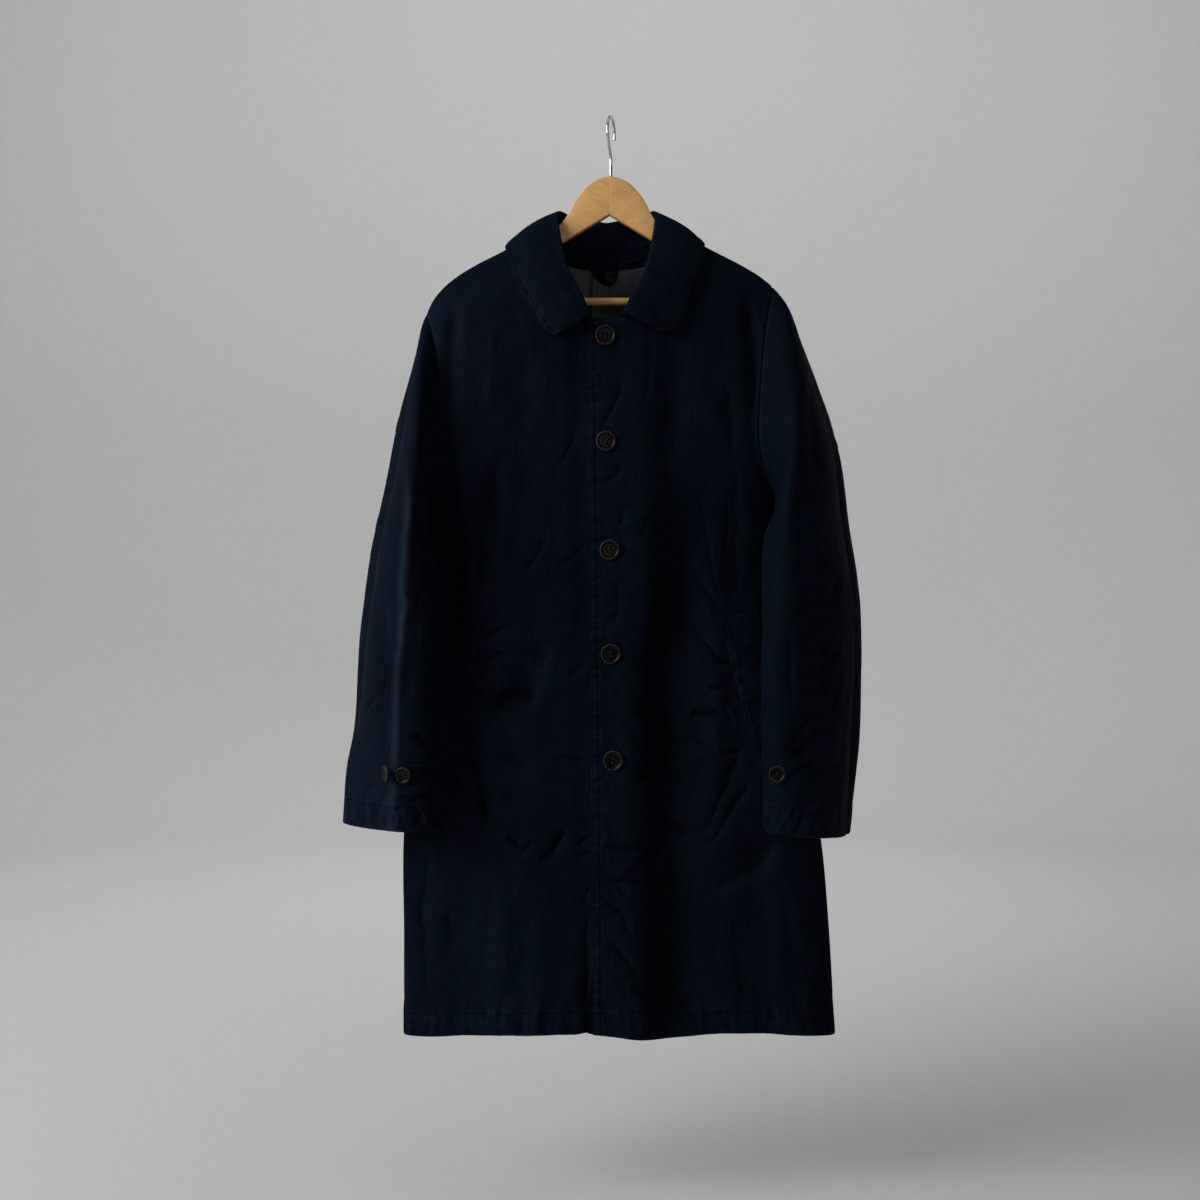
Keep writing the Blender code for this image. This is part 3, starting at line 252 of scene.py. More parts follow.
# A crease runs from its start to its end, bowed to the side (to the left of the coat where
# it runs down). A depth above zero is a trough. Lean makes one of its banks steeper.
FRONT_CREASES = (
    # start x, z, end x, z, bow, half width, depth, lean
    # right front
    (-131, -405, -164, -612, -5, 12, 4.6, 0.2),
    (-42, -386, -68, -432, 2, 5, 1.7, 0.0),
    (-80, -508, -109, -566, 3, 6, 1.9, 0.0),
    (-30, -521, -68, -554, 3, 5, 1.7, 0.0),
    (-26, -650, -58, -688, 3, 5, 1.6, 0.0),
    (-160, -642, -110, -620, 4, 4, 1.8, 0.0),
    (-160, -674, -116, -651, 3, 4, 1.5, 0.0),
    (-170, -738, -84, -700, 6, 15, 3.4, 0.3),
    (-87, -636, -84, -704, 2, 6, 1.5, 0.0),
    (-78, -784, -20, -781, 2, 4, 1.8, 0.3),
    (-120, -748, -118, -862, 0, 19, 3.0, 0.0),
    (-184, -790, -148, -872, 8, 7, 3.6, -0.4),
    (-129, -873, -109, -894, 1, 4, 3.0, 0.2),
    (-110, -895, -94, -880, 1, 4, 2.8, 0.2),
    (-92, -911, -54, -866, -6, 5, 2.4, 0.3),
    (-48, -902, -20, -893, 1, 4, 1.4, 0.0),
    (-35, -960, -24, -928, 0, 4, 1.4, 0.0),
    (-30, -950, -30, -1230, 0, 7, 7.0, 0.0),
    (-176, -706, -108, -712, 3, 12, 2.6, 0.2),
    (-74, -630, -112, -732, -4, 14, 3.6, 0.3),
    (-78, -892, -52, -862, -3, 6, 4.2, 0.3),
    (-40, -884, -22, -876, 1, 4, 2.6, 0.0),
    (-196, -740, -150, -890, 10, 11, 4.4, -0.3),
    (-218, -885, -222, -1090, -11, 6, 2.6, 0.0),
    (-195, -955, -197, -1040, 0, 10, 2.4, 0.0),
    (-106, -270, -112, -420, 0, 14, 1.4, 0.0),
    (-140, -250, -150, -380, 0, 10, -1.2, 0.0),
    (-92, -900, -110, -1130, -4, 15, 2.0, 0.0),
    (-150, -905, -158, -1120, 3, 10, 1.6, 0.0),
    (-199, -300, -201, -960, 0, 15, 3.2, 0.2),
    # left front
    (75, -270, 70, -460, 0, 16, 1.8, 0.0),
    (26, -724, 60, -744, 3, 6, 4.4, 0.3),
    (28, -906, 66, -890, -3, 6, 4.6, 0.3),
    (-8, -892, 40, -888, 2, 5, 3.2, 0.3),
    (30, -800, 62, -812, 2, 6, 2.6, 0.2),
    (-12, -948, 30, -1010, 5, 7, 2.6, 0.2),
    (-10, -990, 44, -1080, 6, 7, 2.8, 0.2),
    (96, -876, 58, -842, 4, 7, 3.6, 0.3),
    (156, -760, 104, -880, 12, 8, 4.4, 0.3),
    (100, -560, 150, -610, -5, 6, 3.0, 0.3),
    (118, -648, 150, -668, -3, 6, 3.2, 0.3),
    (88, -734, 142, -728, 3, 7, 3.4, 0.3),
    (48, -270, 40, -362, 0, 8, 1.6, 0.0),
    (13, -316, -14, -388, 4, 5, 1.8, 0.0),
    (16, -418, -15, -454, 4, 5, 1.7, 0.0),
    (22, -464, 1, -514, 3, 5, 1.8, 0.0),
    (46, -482, 31, -522, 3, 5, 1.6, 0.0),
    (12, -560, 1, -628, 2, 5, 1.6, 0.0),
    (136, -322, 150, -430, 3, 9, 2.4, 0.2),
    (149, -420, 153, -604, 3, 8, 2.6, 0.3),
    (108, -448, 142, -612, -4, 4, 1.8, 0.4),
    (142, -444, 147, -568, 0, 4, 1.4, 0.0),
    (92, -610, 133, -664, -4, 5, 2.2, 0.3),
    (110, -701, 149, -697, 3, 4, 1.8, 0.3),
    (95, -752, 119, -771, -2, 4, 1.6, 0.0),
    (131, -773, 165, -768, -3, 4, 1.6, 0.0),
    (172, -796, 96, -897, 14, 6, 3.2, 0.4),
    (212, -868, 112, -948, 8, 15, 3.6, 0.3),
    (-8, -929, 46, -930, 2, 4, 2.0, 0.4),
    (-9, -889, 8, -886, 1, 3, 1.2, 0.0),
    (38, -970, 68, -955, 2, 4, 2.0, 0.2),
    (-18, -1072, 54, -1088, -6, 6, 1.8, 0.0),
    (259, -985, 262, -1125, 0, 8, 2.6, 0.0),
    (150, -960, 168, -1130, 3, 11, 2.2, 0.0),
    (208, -930, 226, -1120, 4, 12, 1.8, 0.0),
)
BACK_CREASES = (
    (-60, -195, -95, -330, 6, 10, 2.0, 0.2),
    (58, -200, 88, -350, -6, 11, 2.2, 0.2),
    (-8, -210, -4, -420, 0, 13, 1.6, 0.0),
    (-150, -330, -120, -470, -8, 9, 3.0, 0.3),
    (148, -340, 120, -500, 7, 9, 3.2, 0.3),
    (-185, -470, -130, -540, 8, 7, 2.6, 0.3),
    (172, -480, 122, -560, -8, 7, 2.4, 0.3),
    (-36, -430, -52, -760, 5, 9, 2.4, 0.2),
    (66, -520, 58, -830, -4, 8, 2.2, 0.2),
    (-112, -560, -118, -900, 4, 8, 2.6, -0.3),
    (106, -600, 118, -940, -5, 9, 2.4, -0.3),
    (-4, -640, 4, -1120, 4, 11, 2.2, 0.0),
    (-196, -640, -200, -940, -5, 8, 2.2, 0.0),
    (190, -620, 206, -900, 5, 8, 2.4, 0.0),
    (-30, -700, -78, -742, 5, 5, 1.8, 0.2),
    (40, -760, 92, -800, -6, 5, 1.8, 0.2),
    (-150, -780, -96, -815, -5, 5, 1.8, 0.2),
    (-88, -905, -22, -925, 5, 6, 1.8, 0.2),
    (60, -980, 130, -955, 6, 6, 1.8, 0.2),
    (-170, -960, -178, -1120, 3, 9, 2.2, 0.0),
    (176, -900, 190, -1120, 4, 10, 2.4, 0.0),
    (-222, -900, -226, -1110, -4, 8, 2.0, 0.0),
    (236, -930, 244, -1110, 3, 8, 2.0, 0.0),
)
SLEEVE_CREASES = {
    ("right", "front"): (
        (-224, -290, -257, -860, 0, 8, -4.2, 0.3),
        (-240, -330, -275, -850, -1, 9, 2.4, 0.0),
        (-198, -640, -200, -980, 0, 24, 5.0, 0.0),
        (-270, -560, -273, -742, -2, 8, 2.6, 0.2),
        (-284, -430, -292, -620, -3, 7, 1.6, 0.0),
        (-233, -420, -226, -700, 3, 8, 1.6, 0.0),
        (-297, -727, -279, -700, 2, 4, 1.8, 0.2),
        (-236, -742, -216, -772, 3, 9, 3.4, 0.3),
        (-228, -740, -222, -768, 0, 5, 1.6, 0.0),
        (-298, -820, -277, -809, 2, 3, 2.0, 0.3),
        (-295, -815, -293, -868, 0, 4, 2.6, 0.3),
        (-258, -812, -275, -866, 0, 4, -1.4, 0.0),
        (-268, -812, -283, -866, 0, 4, 1.8, 0.0),
        (-247, -815, -262, -868, 0, 4, 1.4, 0.0),
        (-221, -832, -238, -864, 2, 5, 2.4, 0.3),
        (-305, -640, -290, -612, 2, 4, 1.2, 0.0),
        (-249, -300, -254, -420, 0, 7, 1.4, 0.0),
        (-262, -480, -246, -530, 3, 5, 1.3, 0.2),
        (-215, -560, -232, -600, 3, 5, 1.5, 0.2),
    ),
    ("left", "front"): (
        (210, -628, 211, -722, 0, 5, 2.6, 0.3),
        (240, -566, 255, -536, 2, 5, 1.8, 0.2),
        (248, -599, 270, -594, 2, 4, 2.6, 0.3),
        (254, -722, 205, -768, -6, 6, 3.4, 0.5),
        (250, -780, 204, -806, -4, 5, 2.8, -0.4),
        (244, -736, 212, -790, -2, 14, 3.2, 0.0),
        (257, -793, 275, -789, 1, 3, 1.8, 0.2),
        (266, -812, 270, -872, 2, 5, 2.4, 0.2),
        (246, -560, 251, -700, 4, 9, 2.0, 0.2),
        (262, -620, 250, -660, 2, 4, 2.0, 0.2),
        (272, -640, 256, -676, 2, 4, 2.0, 0.2),
        (246, -672, 262, -712, -2, 4, 2.2, 0.2),
        (270, -700, 256, -726, 2, 4, 1.8, 0.2),
        (272, -560, 262, -590, 2, 4, 2.0, 0.2),
        (240, -300, 246, -470, 0, 9, 1.6, 0.0),
        (222, -430, 224, -640, 0, 10, 1.4, 0.0),
        (250, -820, 246, -870, 0, 4, 1.8, 0.0),
        (225, -815, 222, -870, 0, 5, 1.2, 0.0),
    ),
    ("right", "back"): (
        (-300, -500, -262, -560, 4, 6, 2.4, 0.3),
        (-302, -545, -258, -600, 4, 5, 2.2, 0.3),
        (-268, -600, -276, -780, -3, 8, 2.2, 0.0),
        (-244, -420, -240, -640, 3, 8, 1.8, 0.0),
        (-300, -660, -270, -700, 4, 5, 2.0, 0.2),
        (-240, -780, -262, -830, 3, 6, 2.2, 0.2),
        (-288, -800, -292, -860, 0, 5, 1.8, 0.0),
    ),
    ("left", "back"): (
        (280, -480, 240, -545, -4, 6, 2.4, 0.3),
        (284, -530, 238, -590, -4, 5, 2.4, 0.3),
        (286, -580, 244, -630, -4, 5, 2.0, 0.3),
        (248, -600, 244, -790, 3, 8, 2.2, 0.0),
        (214, -440, 212, -640, -3, 8, 1.8, 0.0),
        (270, -700, 240, -740, -4, 5, 2.0, 0.2),
        (222, -790, 240, -840, -3, 6, 2.0, 0.2),
    ),
}
# Patches of small crumples.
RUMPLES = (
    # x, z, reach across, reach down, height, cell, facing
    (8, -620, 24, 260, 0.55, 13, "front"),
    (10, -960, 28, 160, 0.8, 14, "front"),
    (-60, -1085, 200, 34, 0.6, 15, "front"),
    (150, -1085, 120, 34, 0.7, 15, "front"),
    (-178, -690, 34, 110, 0.9, 15, "front"),
    (158, -700, 30, 105, 0.9, 15, "front"),
    (-60, -880, 60, 40, 0.6, 24, "front"),
    (110, -790, 50, 60, 0.6, 22, "front"),
    (30, -900, 50, 60, 0.5, 22, "front"),
    (268, -640, 22, 120, 1.3, 13, "front"),
    (-290, -730, 22, 120, 0.5, 16, "front"),
    (-232, -845, 40, 30, 0.7, 13, "front"),
    (240, -840, 40, 40, 0.8, 13, "front"),
    (0, -640, 150, 90, 0.7, 26, "back"),
    (-270, -560, 30, 70, 1.0, 15, "back"),
    (262, -560, 30, 70, 1.0, 15, "back"),
)


# ---- curves

def cubic(t, width, start, end, start_slope, end_slope):
    """A cubic piece from its two ends and their slopes, at t from 0 to 1."""
    return (
        (2 * t**3 - 3 * t**2 + 1) * start + (t**3 - 2 * t**2 + t) * width * start_slope
        + (3 * t**2 - 2 * t**3) * end + (t**3 - t**2) * width * end_slope
    )


def hermite(keys, values, at):
    """Cubic pieces through values at keys, with the mean slope at each key."""
    slopes = np.gradient(values, keys, axis=0)
    piece = np.clip(np.searchsorted(keys, at) - 1, 0, len(keys) - 2)
    width = keys[piece + 1] - keys[piece]
    t = np.clip((at - keys[piece]) / width, 0.0, 1.0)
    shape = t.shape + (1,) * (values.ndim - 1)
    t, width = t.reshape(shape), width.reshape(shape)
    return cubic(t, width, values[piece], values[piece + 1], slopes[piece], slopes[piece + 1])


def table_curve(rows, column, at):
    """Smooth curve through one column of a table, over its first column."""
    table = np.array(rows, float)
    keys, values = table[:, 0], table[:, column]
    if keys[0] > keys[-1]:
        keys, values = keys[::-1], values[::-1]
    return hermite(keys, values, np.asarray(at, float))


def ease(share):
    """Smooth step from 0 to 1: 3s^2 - 2s^3."""
    share = np.clip(share, 0.0, 1.0)
    return share * share * (3.0 - 2.0 * share)


def bell(distance):
    """exp(-d^2): 1 in the middle, close to nothing two widths away."""
    return np.exp(-(distance**2))


def unit(vectors):
    """Vectors at length one."""
    length = np.linalg.norm(vectors, axis=-1, keepdims=True)
    return vectors / np.maximum(length, 1e-9)


def spread(*stops):
    """Places from the first stop on, in the number of even steps that each later stop names."""
    places = [np.array([stops[0][0]], float)]
    for (start, _), (end, count) in zip(stops[:-1], stops[1:]):
        places.append(np.linspace(start, end, count + 1)[1:])
    return np.concatenate(places)


# ---- the cloth's relief

LATTICE = 192


def crumple(x, z, cell_x, cell_z, seed):
    """Soft random heights from -1 to 1: seeded values on a lattice of cells, eased between."""
    values = np.random.default_rng(seed).uniform(-1, 1, (LATTICE, LATTICE))
    across, down = (x + 1.0) / cell_x, (z + 2.0) / cell_z
    i, j = np.floor(across).astype(int), np.floor(down).astype(int)
    u, v = ease(across - i), ease(down - j)
    i, j = i % LATTICE, j % LATTICE
    right, low = (i + 1) % LATTICE, (j + 1) % LATTICE
    top = values[i, j] * (1 - u) + values[right, j] * u
    return top * (1 - v) + (values[i, low] * (1 - u) + values[right, low] * u) * v


def creases(rows, x, z):
    """Sum of creases, in metres outwards: across each bowed line a trough with a low bank on
    both sides, narrower and fading out towards the line's two ends. Narrow ones are crisp at
    the bottom and wide ones round."""
    total = np.zeros(np.broadcast(x, z).shape)
    uneven = 0.9 + 0.3 * crumple(x, z, 0.034, 0.034, 43)
    x = x + 0.003 * crumple(x, z, 0.024, 0.02, 41)
    z = z + 0.003 * crumple(x, z, 0.02, 0.024, 42)
    for x0, z0, x1, z1, bow, half, depth, lean in rows:
        start = np.array((x0, z0)) / 1000.0
        way = np.array((x1, z1)) / 1000.0 - start
        length = math.hypot(*way)
        way = way / length
        along = ((x - start[0]) * way[0] + (z - start[1]) * way[1]) / length
        near = (along > 0.0) & (along < 1.0)
        if not near.any():
            continue
        side = (z - start[1]) * way[0] - (x - start[0]) * way[1]
        side = side - bow / 1000.0 * 4.0 * along * (1.0 - along)
        fade = ease(along * 2.6) * ease((1.0 - along) * 2.6)
        off = side / (half / 1000.0 * (0.6 + 0.4 * fade))
        off = off * (1.0 + lean * np.tanh(off))
        crisp = np.clip((15.0 - half) / 8.0, 0.0, 1.0)
        middle = crisp * np.exp(-1.35 * (np.sqrt(off**2 + 0.05) - 0.22)) + (1.0 - crisp) * bell(off)
        bank = 0.32 - 0.22 * crisp
        form = middle - bank * (bell((off - 2.0) / 1.1) + bell((off + 2.0) / 1.1))
        slight = 0.6 + 0.4 * min(max((half - 4) / 9.0, 0.0), 1.0)
        total = total - slight * depth / 1000.0 * np.where(near, fade * form, 0.0)
    return total * uneven


def rumples(x, z, facing):
    """Patches of small crumples: a bell over each patch times creased random heights."""
    total = np.zeros(np.broadcast(x, z).shape)
    for seed, (x0, z0, wide, down, height, cell, side) in enumerate(RUMPLES, 70):
        if side != facing:
            continue
        place = bell((x * 1000 - x0) / wide) * bell((z * 1000 - z0) / down)
        cell_x = cell / 1000.0
        form = 1.0 - 2.0 * np.abs(crumple(x + 0.6 * z, z - 0.5 * x, cell_x, 1.5 * cell_x, seed))
        total = total + height / 1000.0 * place * form
    return total


def washed(x, z, seed):
    """The slack of washed cotton: three sizes of soft random heights on slanting cells."""
    return (
        0.0011 * crumple(x + 0.2 * z, z, 0.062, 0.12, seed)
        + 0.0003 * crumple(x - 0.3 * z, z + 0.4 * x, 0.024, 0.036, seed + 1)
        + 0.00007 * crumple(x + 0.5 * z, z - 0.5 * x, 0.01, 0.014, seed + 2)
    )


def relief(x, z, facing, rows, seed):
    """All of a panel's relief at places across and heights."""
    return 2.1 * creases(rows, x, z) + 1.4 * rumples(x, z, facing) + 1.3 * washed(x, z, seed)


def puckers(run, seed, cell):
    """Small uneven waves along a seam, from 0 to 1, at distances along it."""
    a = crumple(run, np.zeros_like(run), cell, 1.0, seed)
    b = crumple(run, np.zeros_like(run), 0.45 * cell, 1.0, seed + 1)
    return np.clip(0.5 + 0.55 * a + 0.3 * b, 0.0, 1.2)


# ---- the body's form

def shoulder_height(x):
    """Height of the shoulder ridge at a place across."""
    return table_curve(SHOULDER, 1, np.abs(x - SHOULDER_X))


def folds(rows, x, z):
    """Sum of straight troughs: a bell across each line, faded at its two ends."""
    total = np.zeros_like(x)
    for top_x, top_z, low_x, low_z, half, depth in rows:
        along = np.clip((z - top_z) / (low_z - top_z), 0.0, 1.0)
        middle = top_x + (low_x - top_x) * along
        fade = ease(along * 3.0) * ease((1.0 - along) * 3.0 + 0.5 * (low_z < -1.1))
        total = total + depth * fade * bell((x - middle) / half)
    return total


def body_y(x, z, facing):
    """Depth of the body's cloth: a rounded section that narrows to nothing at the ridge."""
    front = facing == "front"
    right, left = table_curve(BODY, 1, z), table_curve(BODY, 2, z)
    depth = table_curve(BODY, 3 if front else 4, z)
    square = table_curve(BODY, 5, z)
    across = np.clip(np.abs(x - (left + right) / 2) / ((left - right) / 2), 0.0, 1.0)
    drop = np.maximum(shoulder_height(x) - z, 0.0)
    rise = np.clip(drop / (FRONT_RISE if front else BACK_RISE), 0.0, 1.0)
    full = (1.0 - across**square) ** SIDE_ROUND * np.sqrt(1.0 - (1.0 - rise) ** 2)
    rest = SIDE_BACK * ease(drop / SIDE_BACK_DROP)
    moved = folds(FRONT_FOLDS if front else BACK_FOLDS, x, z) * np.minimum(full * 1.5, 1.0)
    if front:
        return rest - (depth + rest) * full + moved
    return rest + (depth - rest) * full - moved


STEEP = 40.0


def body_out(x, z, facing):
    """Unit vectors straight out of the body's cloth, from its slopes, which are taken as
    steep on the shoulder ridge and the side seams."""
    step = 0.0005
    side = -1.0 if facing == "front" else 1.0
    slope_x = (body_y(x + step, z, facing) - body_y(x - step, z, facing)) / (2 * step)
    slope_z = (body_y(x, z + step, facing) - body_y(x, z - step, facing)) / (2 * step)
    drop = shoulder_height(x) - z
    steep = np.where(drop < 2 * step, side * -STEEP, slope_z)
    right, left = table_curve(BODY, 1, z), table_curve(BODY, 2, z)
    low = z < UNDERARM_Z + 0.001
    slope_x = np.where(low & (x > left - 2 * step), side * -STEEP, slope_x)
    slope_x = np.where(low & (x < right + 2 * step), side * STEEP, slope_x)
    return unit(np.stack((-side * slope_x, np.full_like(x, side), -side * steep), axis=-1))


def on_body(x, z, ahead):
    """Points of the body's cloth and the way out of it: of the front where ahead is true."""
    y = np.where(ahead, body_y(x, z, "front"), body_y(x, z, "back"))
    out = np.where(ahead[..., None], body_out(x, z, "front"), body_out(x, z, "back"))
    return np.stack((x, y, z), axis=-1), out


def armhole(side, share):
    """Place across and height along an armhole, from the shoulder tip to the underarm."""
    tip_x = SHOULDER_X + SIGN[side] * SHOULDER_TIP_REACH[side]
    tip_z = float(shoulder_height(np.array(tip_x)))
    low_x = float(table_curve(BODY, COLUMN[side], UNDERARM_Z))
    x = tip_x + (low_x - tip_x) * share - SIGN[side] * table_curve(ARMHOLE, COLUMN[side], share)
    return x, tip_z + (UNDERARM_Z - tip_z) * share


def neck_run(side, shares):
    """Places along the neck seam, at shares of the collar's length."""
    before = (shares - 0.5 * SHOULDER_SHARE) / (0.5 * SHOULDER_SHARE)
    after = (1.0 - shares) / (1.0 - SHOULDER_SHARE)
    middle = NECK_X + (SHOULDER_X - NECK_X) * np.clip(np.minimum(before, after), 0.0, 1.0)
    return middle + SIGN[side] * table_curve(COLLAR, 1, shares), table_curve(COLLAR, 2, shares)


def side_line(side, facing, down):
    """Places down one side of a panel, at shares of its height: armhole, then side seam."""
    hem_x = table_curve(BODY, COLUMN[side], SIDE_HEM_Z)
    hem_z = float(table_curve(HEM, 1 if facing == "front" else 2, hem_x))
    tip_z = float(armhole(side, np.array(0.0))[1])
    z = tip_z + (hem_z - tip_z) * down
    share = np.clip((tip_z - z) / (tip_z - UNDERARM_Z), 0.0, 1.0)
    x = np.where(z > UNDERARM_Z, armhole(side, share)[0], table_curve(BODY, COLUMN[side], z))
    return np.column_stack((x, z))


def shoulder_run(side, share):
    """Places along a shoulder, at shares of its length from the neck to the tip."""
    reach = NECK_REACH + (SHOULDER_TIP_REACH[side] - NECK_REACH) * share
    x = SHOULDER_X + SIGN[side] * reach
    return x, shoulder_height(x)


def pick(number, *runs):
    """Takes each point from the run whose numbers it lies in; a run is (last number, x, z)."""
    x, z = runs[-1][1:]
    for last, run_x, run_z in runs[-2::-1]:
        x, z = np.where(number <= last, run_x, x), np.where(number <= last, run_z, z)
    return np.column_stack((x, z))


FRONT_LAST = 12.0
BACK_LAST = 18.0


def front_top(side, number):
    """Top line of a front by column number: 0 to 2 the lap, to 7 the neck, to 12 the shoulder."""
    start_x, start_z = (float(v) for v in neck_run(side, np.array(0.0)))
    if side == "right":
        edge_x, edge_z = LAP_EDGE_TOP[0] + UNDER_LAP, NECK_EDGE_Z
    else:
        edge_x, edge_z = LAP_EDGE_TOP
    lap = np.clip(number / 2.0, 0.0, 1.0)
    neck = neck_run(side, np.clip((number - 2.0) / 5.0, 0.0, 1.0) * SHOULDER_SHARE)
    shoulder = shoulder_run(side, np.clip((number - 7.0) / 5.0, 0.0, 1.0))
    lap_line = (edge_x + (start_x - edge_x) * lap, edge_z + (start_z - edge_z) * np.sqrt(lap))
    return pick(number, (2.0, *lap_line), (7.0, *neck), (FRONT_LAST, *shoulder))


def back_top(number):
    """Top line of the back by column number: a shoulder to 5, the neck to 13, a shoulder."""
    share = 1.0 - (1.0 - SHOULDER_SHARE) * np.clip(np.abs(number - 9.0) / 4.0, 0.0, 1.0)
    return pick(
        number,
        (5.0, *shoulder_run("right", np.clip((5.0 - number) / 5.0, 0.0, 1.0))),
        (9.0, *neck_run("right", share)),
        (13.0, *neck_run("left", share)),
        (BACK_LAST, *shoulder_run("left", np.clip((number - 13.0) / 5.0, 0.0, 1.0))),
    )


def between(top, low, start, end, u, v, top_ends, low_ends):
    """Points between four edge lines: the mean of the two rulings, less the corners."""
    u, v = u[None, :, None], v[:, None, None]
    corners = (1 - v) * ((1 - u) * top_ends[0] + u * top_ends[1])
    corners = corners + v * ((1 - u) * low_ends[0] + u * low_ends[1])
    rulings = (1 - v) * top[None] + v * low[None] + (1 - u) * start[:, None] + u * end[:, None]
    return rulings - corners


def front_places(side, number, down):
    """Places (across, height) of a front, by column number and share of its height."""
    top = front_top(side, number)
    end = side_line(side, "front", down)
    edge_hem = LAP_EDGE_HEM_X + (UNDER_LAP if side == "right" else 0.0)
    share = number / FRONT_LAST
    hem_x = edge_hem + (end[-1, 0] - edge_hem) * share**1.15
    low = np.column_stack((hem_x, table_curve(HEM, 1, hem_x)))
    start = top[0] + (low[0] - top[0]) * down[:, None]
    return between(top, low, start, end, share, down, top[[0, -1]], low[[0, -1]])


def back_places(number, down):
    """Places of the back, from the right side to the left."""
    start, end = side_line("right", "back", down), side_line("left", "back", down)
    foot = np.array((1.0,))
    low_ends = np.concatenate((side_line("right", "back", foot), side_line("left", "back", foot)))
    hem_x = low_ends[0, 0] + (low_ends[1, 0] - low_ends[0, 0]) * number / BACK_LAST
    low = np.column_stack((hem_x, table_curve(HEM, 2, hem_x)))
    top, top_ends = back_top(number), back_top(np.array((0.0, BACK_LAST)))
    return between(top, low, start, end, number / BACK_LAST, down, top_ends, low_ends)


def edge_distances(points):
    """How far each point of a grid lies, along the grid's lines, from its four edges."""
    row = np.linalg.norm(np.diff(points, axis=1), axis=-1)
    line = np.linalg.norm(np.diff(points, axis=0), axis=-1)
    start = np.concatenate((np.zeros((len(points), 1)), np.cumsum(row, axis=1)), axis=1)
    top = np.concatenate((np.zeros((1, points.shape[1])), np.cumsum(line, axis=0)))
    return {"start": start, "end": start[:, -1:] - start, "top": top, "low": top[-1:] - top}


def seam_dip(distance):
    """The cloth turning down into a seam: 1.1 mm at the seam, gone after about 6 mm."""
    return -0.0011 * np.exp(-distance / 0.002)


def stitch_groove(distance, place):
    """The dent that a row of stitches draws in the cloth, at a distance from an edge."""
    return -0.0005 * bell((distance - place) / 0.0012)


def slack_start(x, z):
    """Where, across the left front, the long hollow beside the lap starts at each height."""
    return 0.034 + 0.006 * crumple(x, z, 0.5, 0.085, 44)


def slack_fold(x, z):
    """The long hollow beside the lap: the cloth drops back within 60 mm of the lap and comes
    slowly forward again; 5 mm deep at the chest and 17 mm from the pockets down."""
    start = slack_start(x, z)
    deep = 0.005 + 0.012 * ease((-z - 0.3) / 0.36)
    return -deep * ease((x - start) / 0.06) * (1.0 - ease((x - start - 0.06) / 0.125))


def front_relief(x, z):
    """Relief of the fronts, which the under lap follows too, with a dent round each button."""
    total = relief(x, z, "front", FRONT_CREASES, 3) + slack_fold(x, z)
    for button_x, button_z in FRONT_BUTTONS:
        reach = np.hypot(x - button_x, 0.8 * (z - button_z))
        total = total - 0.0009 * bell(reach / 0.013) + 0.0005 * bell((reach - 0.024) / 0.01)
    return total


def lap_line(z):
    """Place across of the left front's edge at each height."""
    return LAP_EDGE_TOP[0] + (LAP_EDGE_HEM_X - LAP_EDGE_TOP[0]) * ease((z - NECK_EDGE_Z) / -LAP_HEIGHT)


def front_sheet(side, x, z):
    """Points of a front's outer face at places and heights, and the way out of it."""
    y = body_y(x, z, "front")
    if side == "right":
        y = y + LAP_SINK * ease((x - lap_line(z) + LAP_EASE) / (0.75 * LAP_EASE))
    out = body_out(x, z, "front")
    top = np.maximum(shoulder_height(x) - z, 0.0)
    raised = front_relief(x, z) * ease(top / 0.02)
    return np.stack((x, y, z), axis=-1) + raised[..., None] * out, out


def back_sheet(x, z):
    """Points of the back's outer face at places and heights, and the way out of it."""
    out = body_out(x, z, "back")
    top = np.maximum(shoulder_height(x) - z, 0.0)
    neck = ease(np.hypot((x - NECK_X) / 1.6, z + 0.16) / 0.09)
    raised = relief(x, z, "back", BACK_CREASES, 23) * ease(top / 0.02) * (0.25 + 0.75 * neck)
    points = np.stack((x, body_y(x, z, "back"), z), axis=-1)
    return points + raised[..., None] * out, out


# ---- the sleeve's form

def armhole_ring(side, angles):
    """Points of the armhole seam at angles round the sleeve, and the way out of the body."""
    x, z = armhole(side, (1.0 - np.cos(angles)) / 2.0)
    return on_body(x, z, np.sin(angles) >= -1e-9)


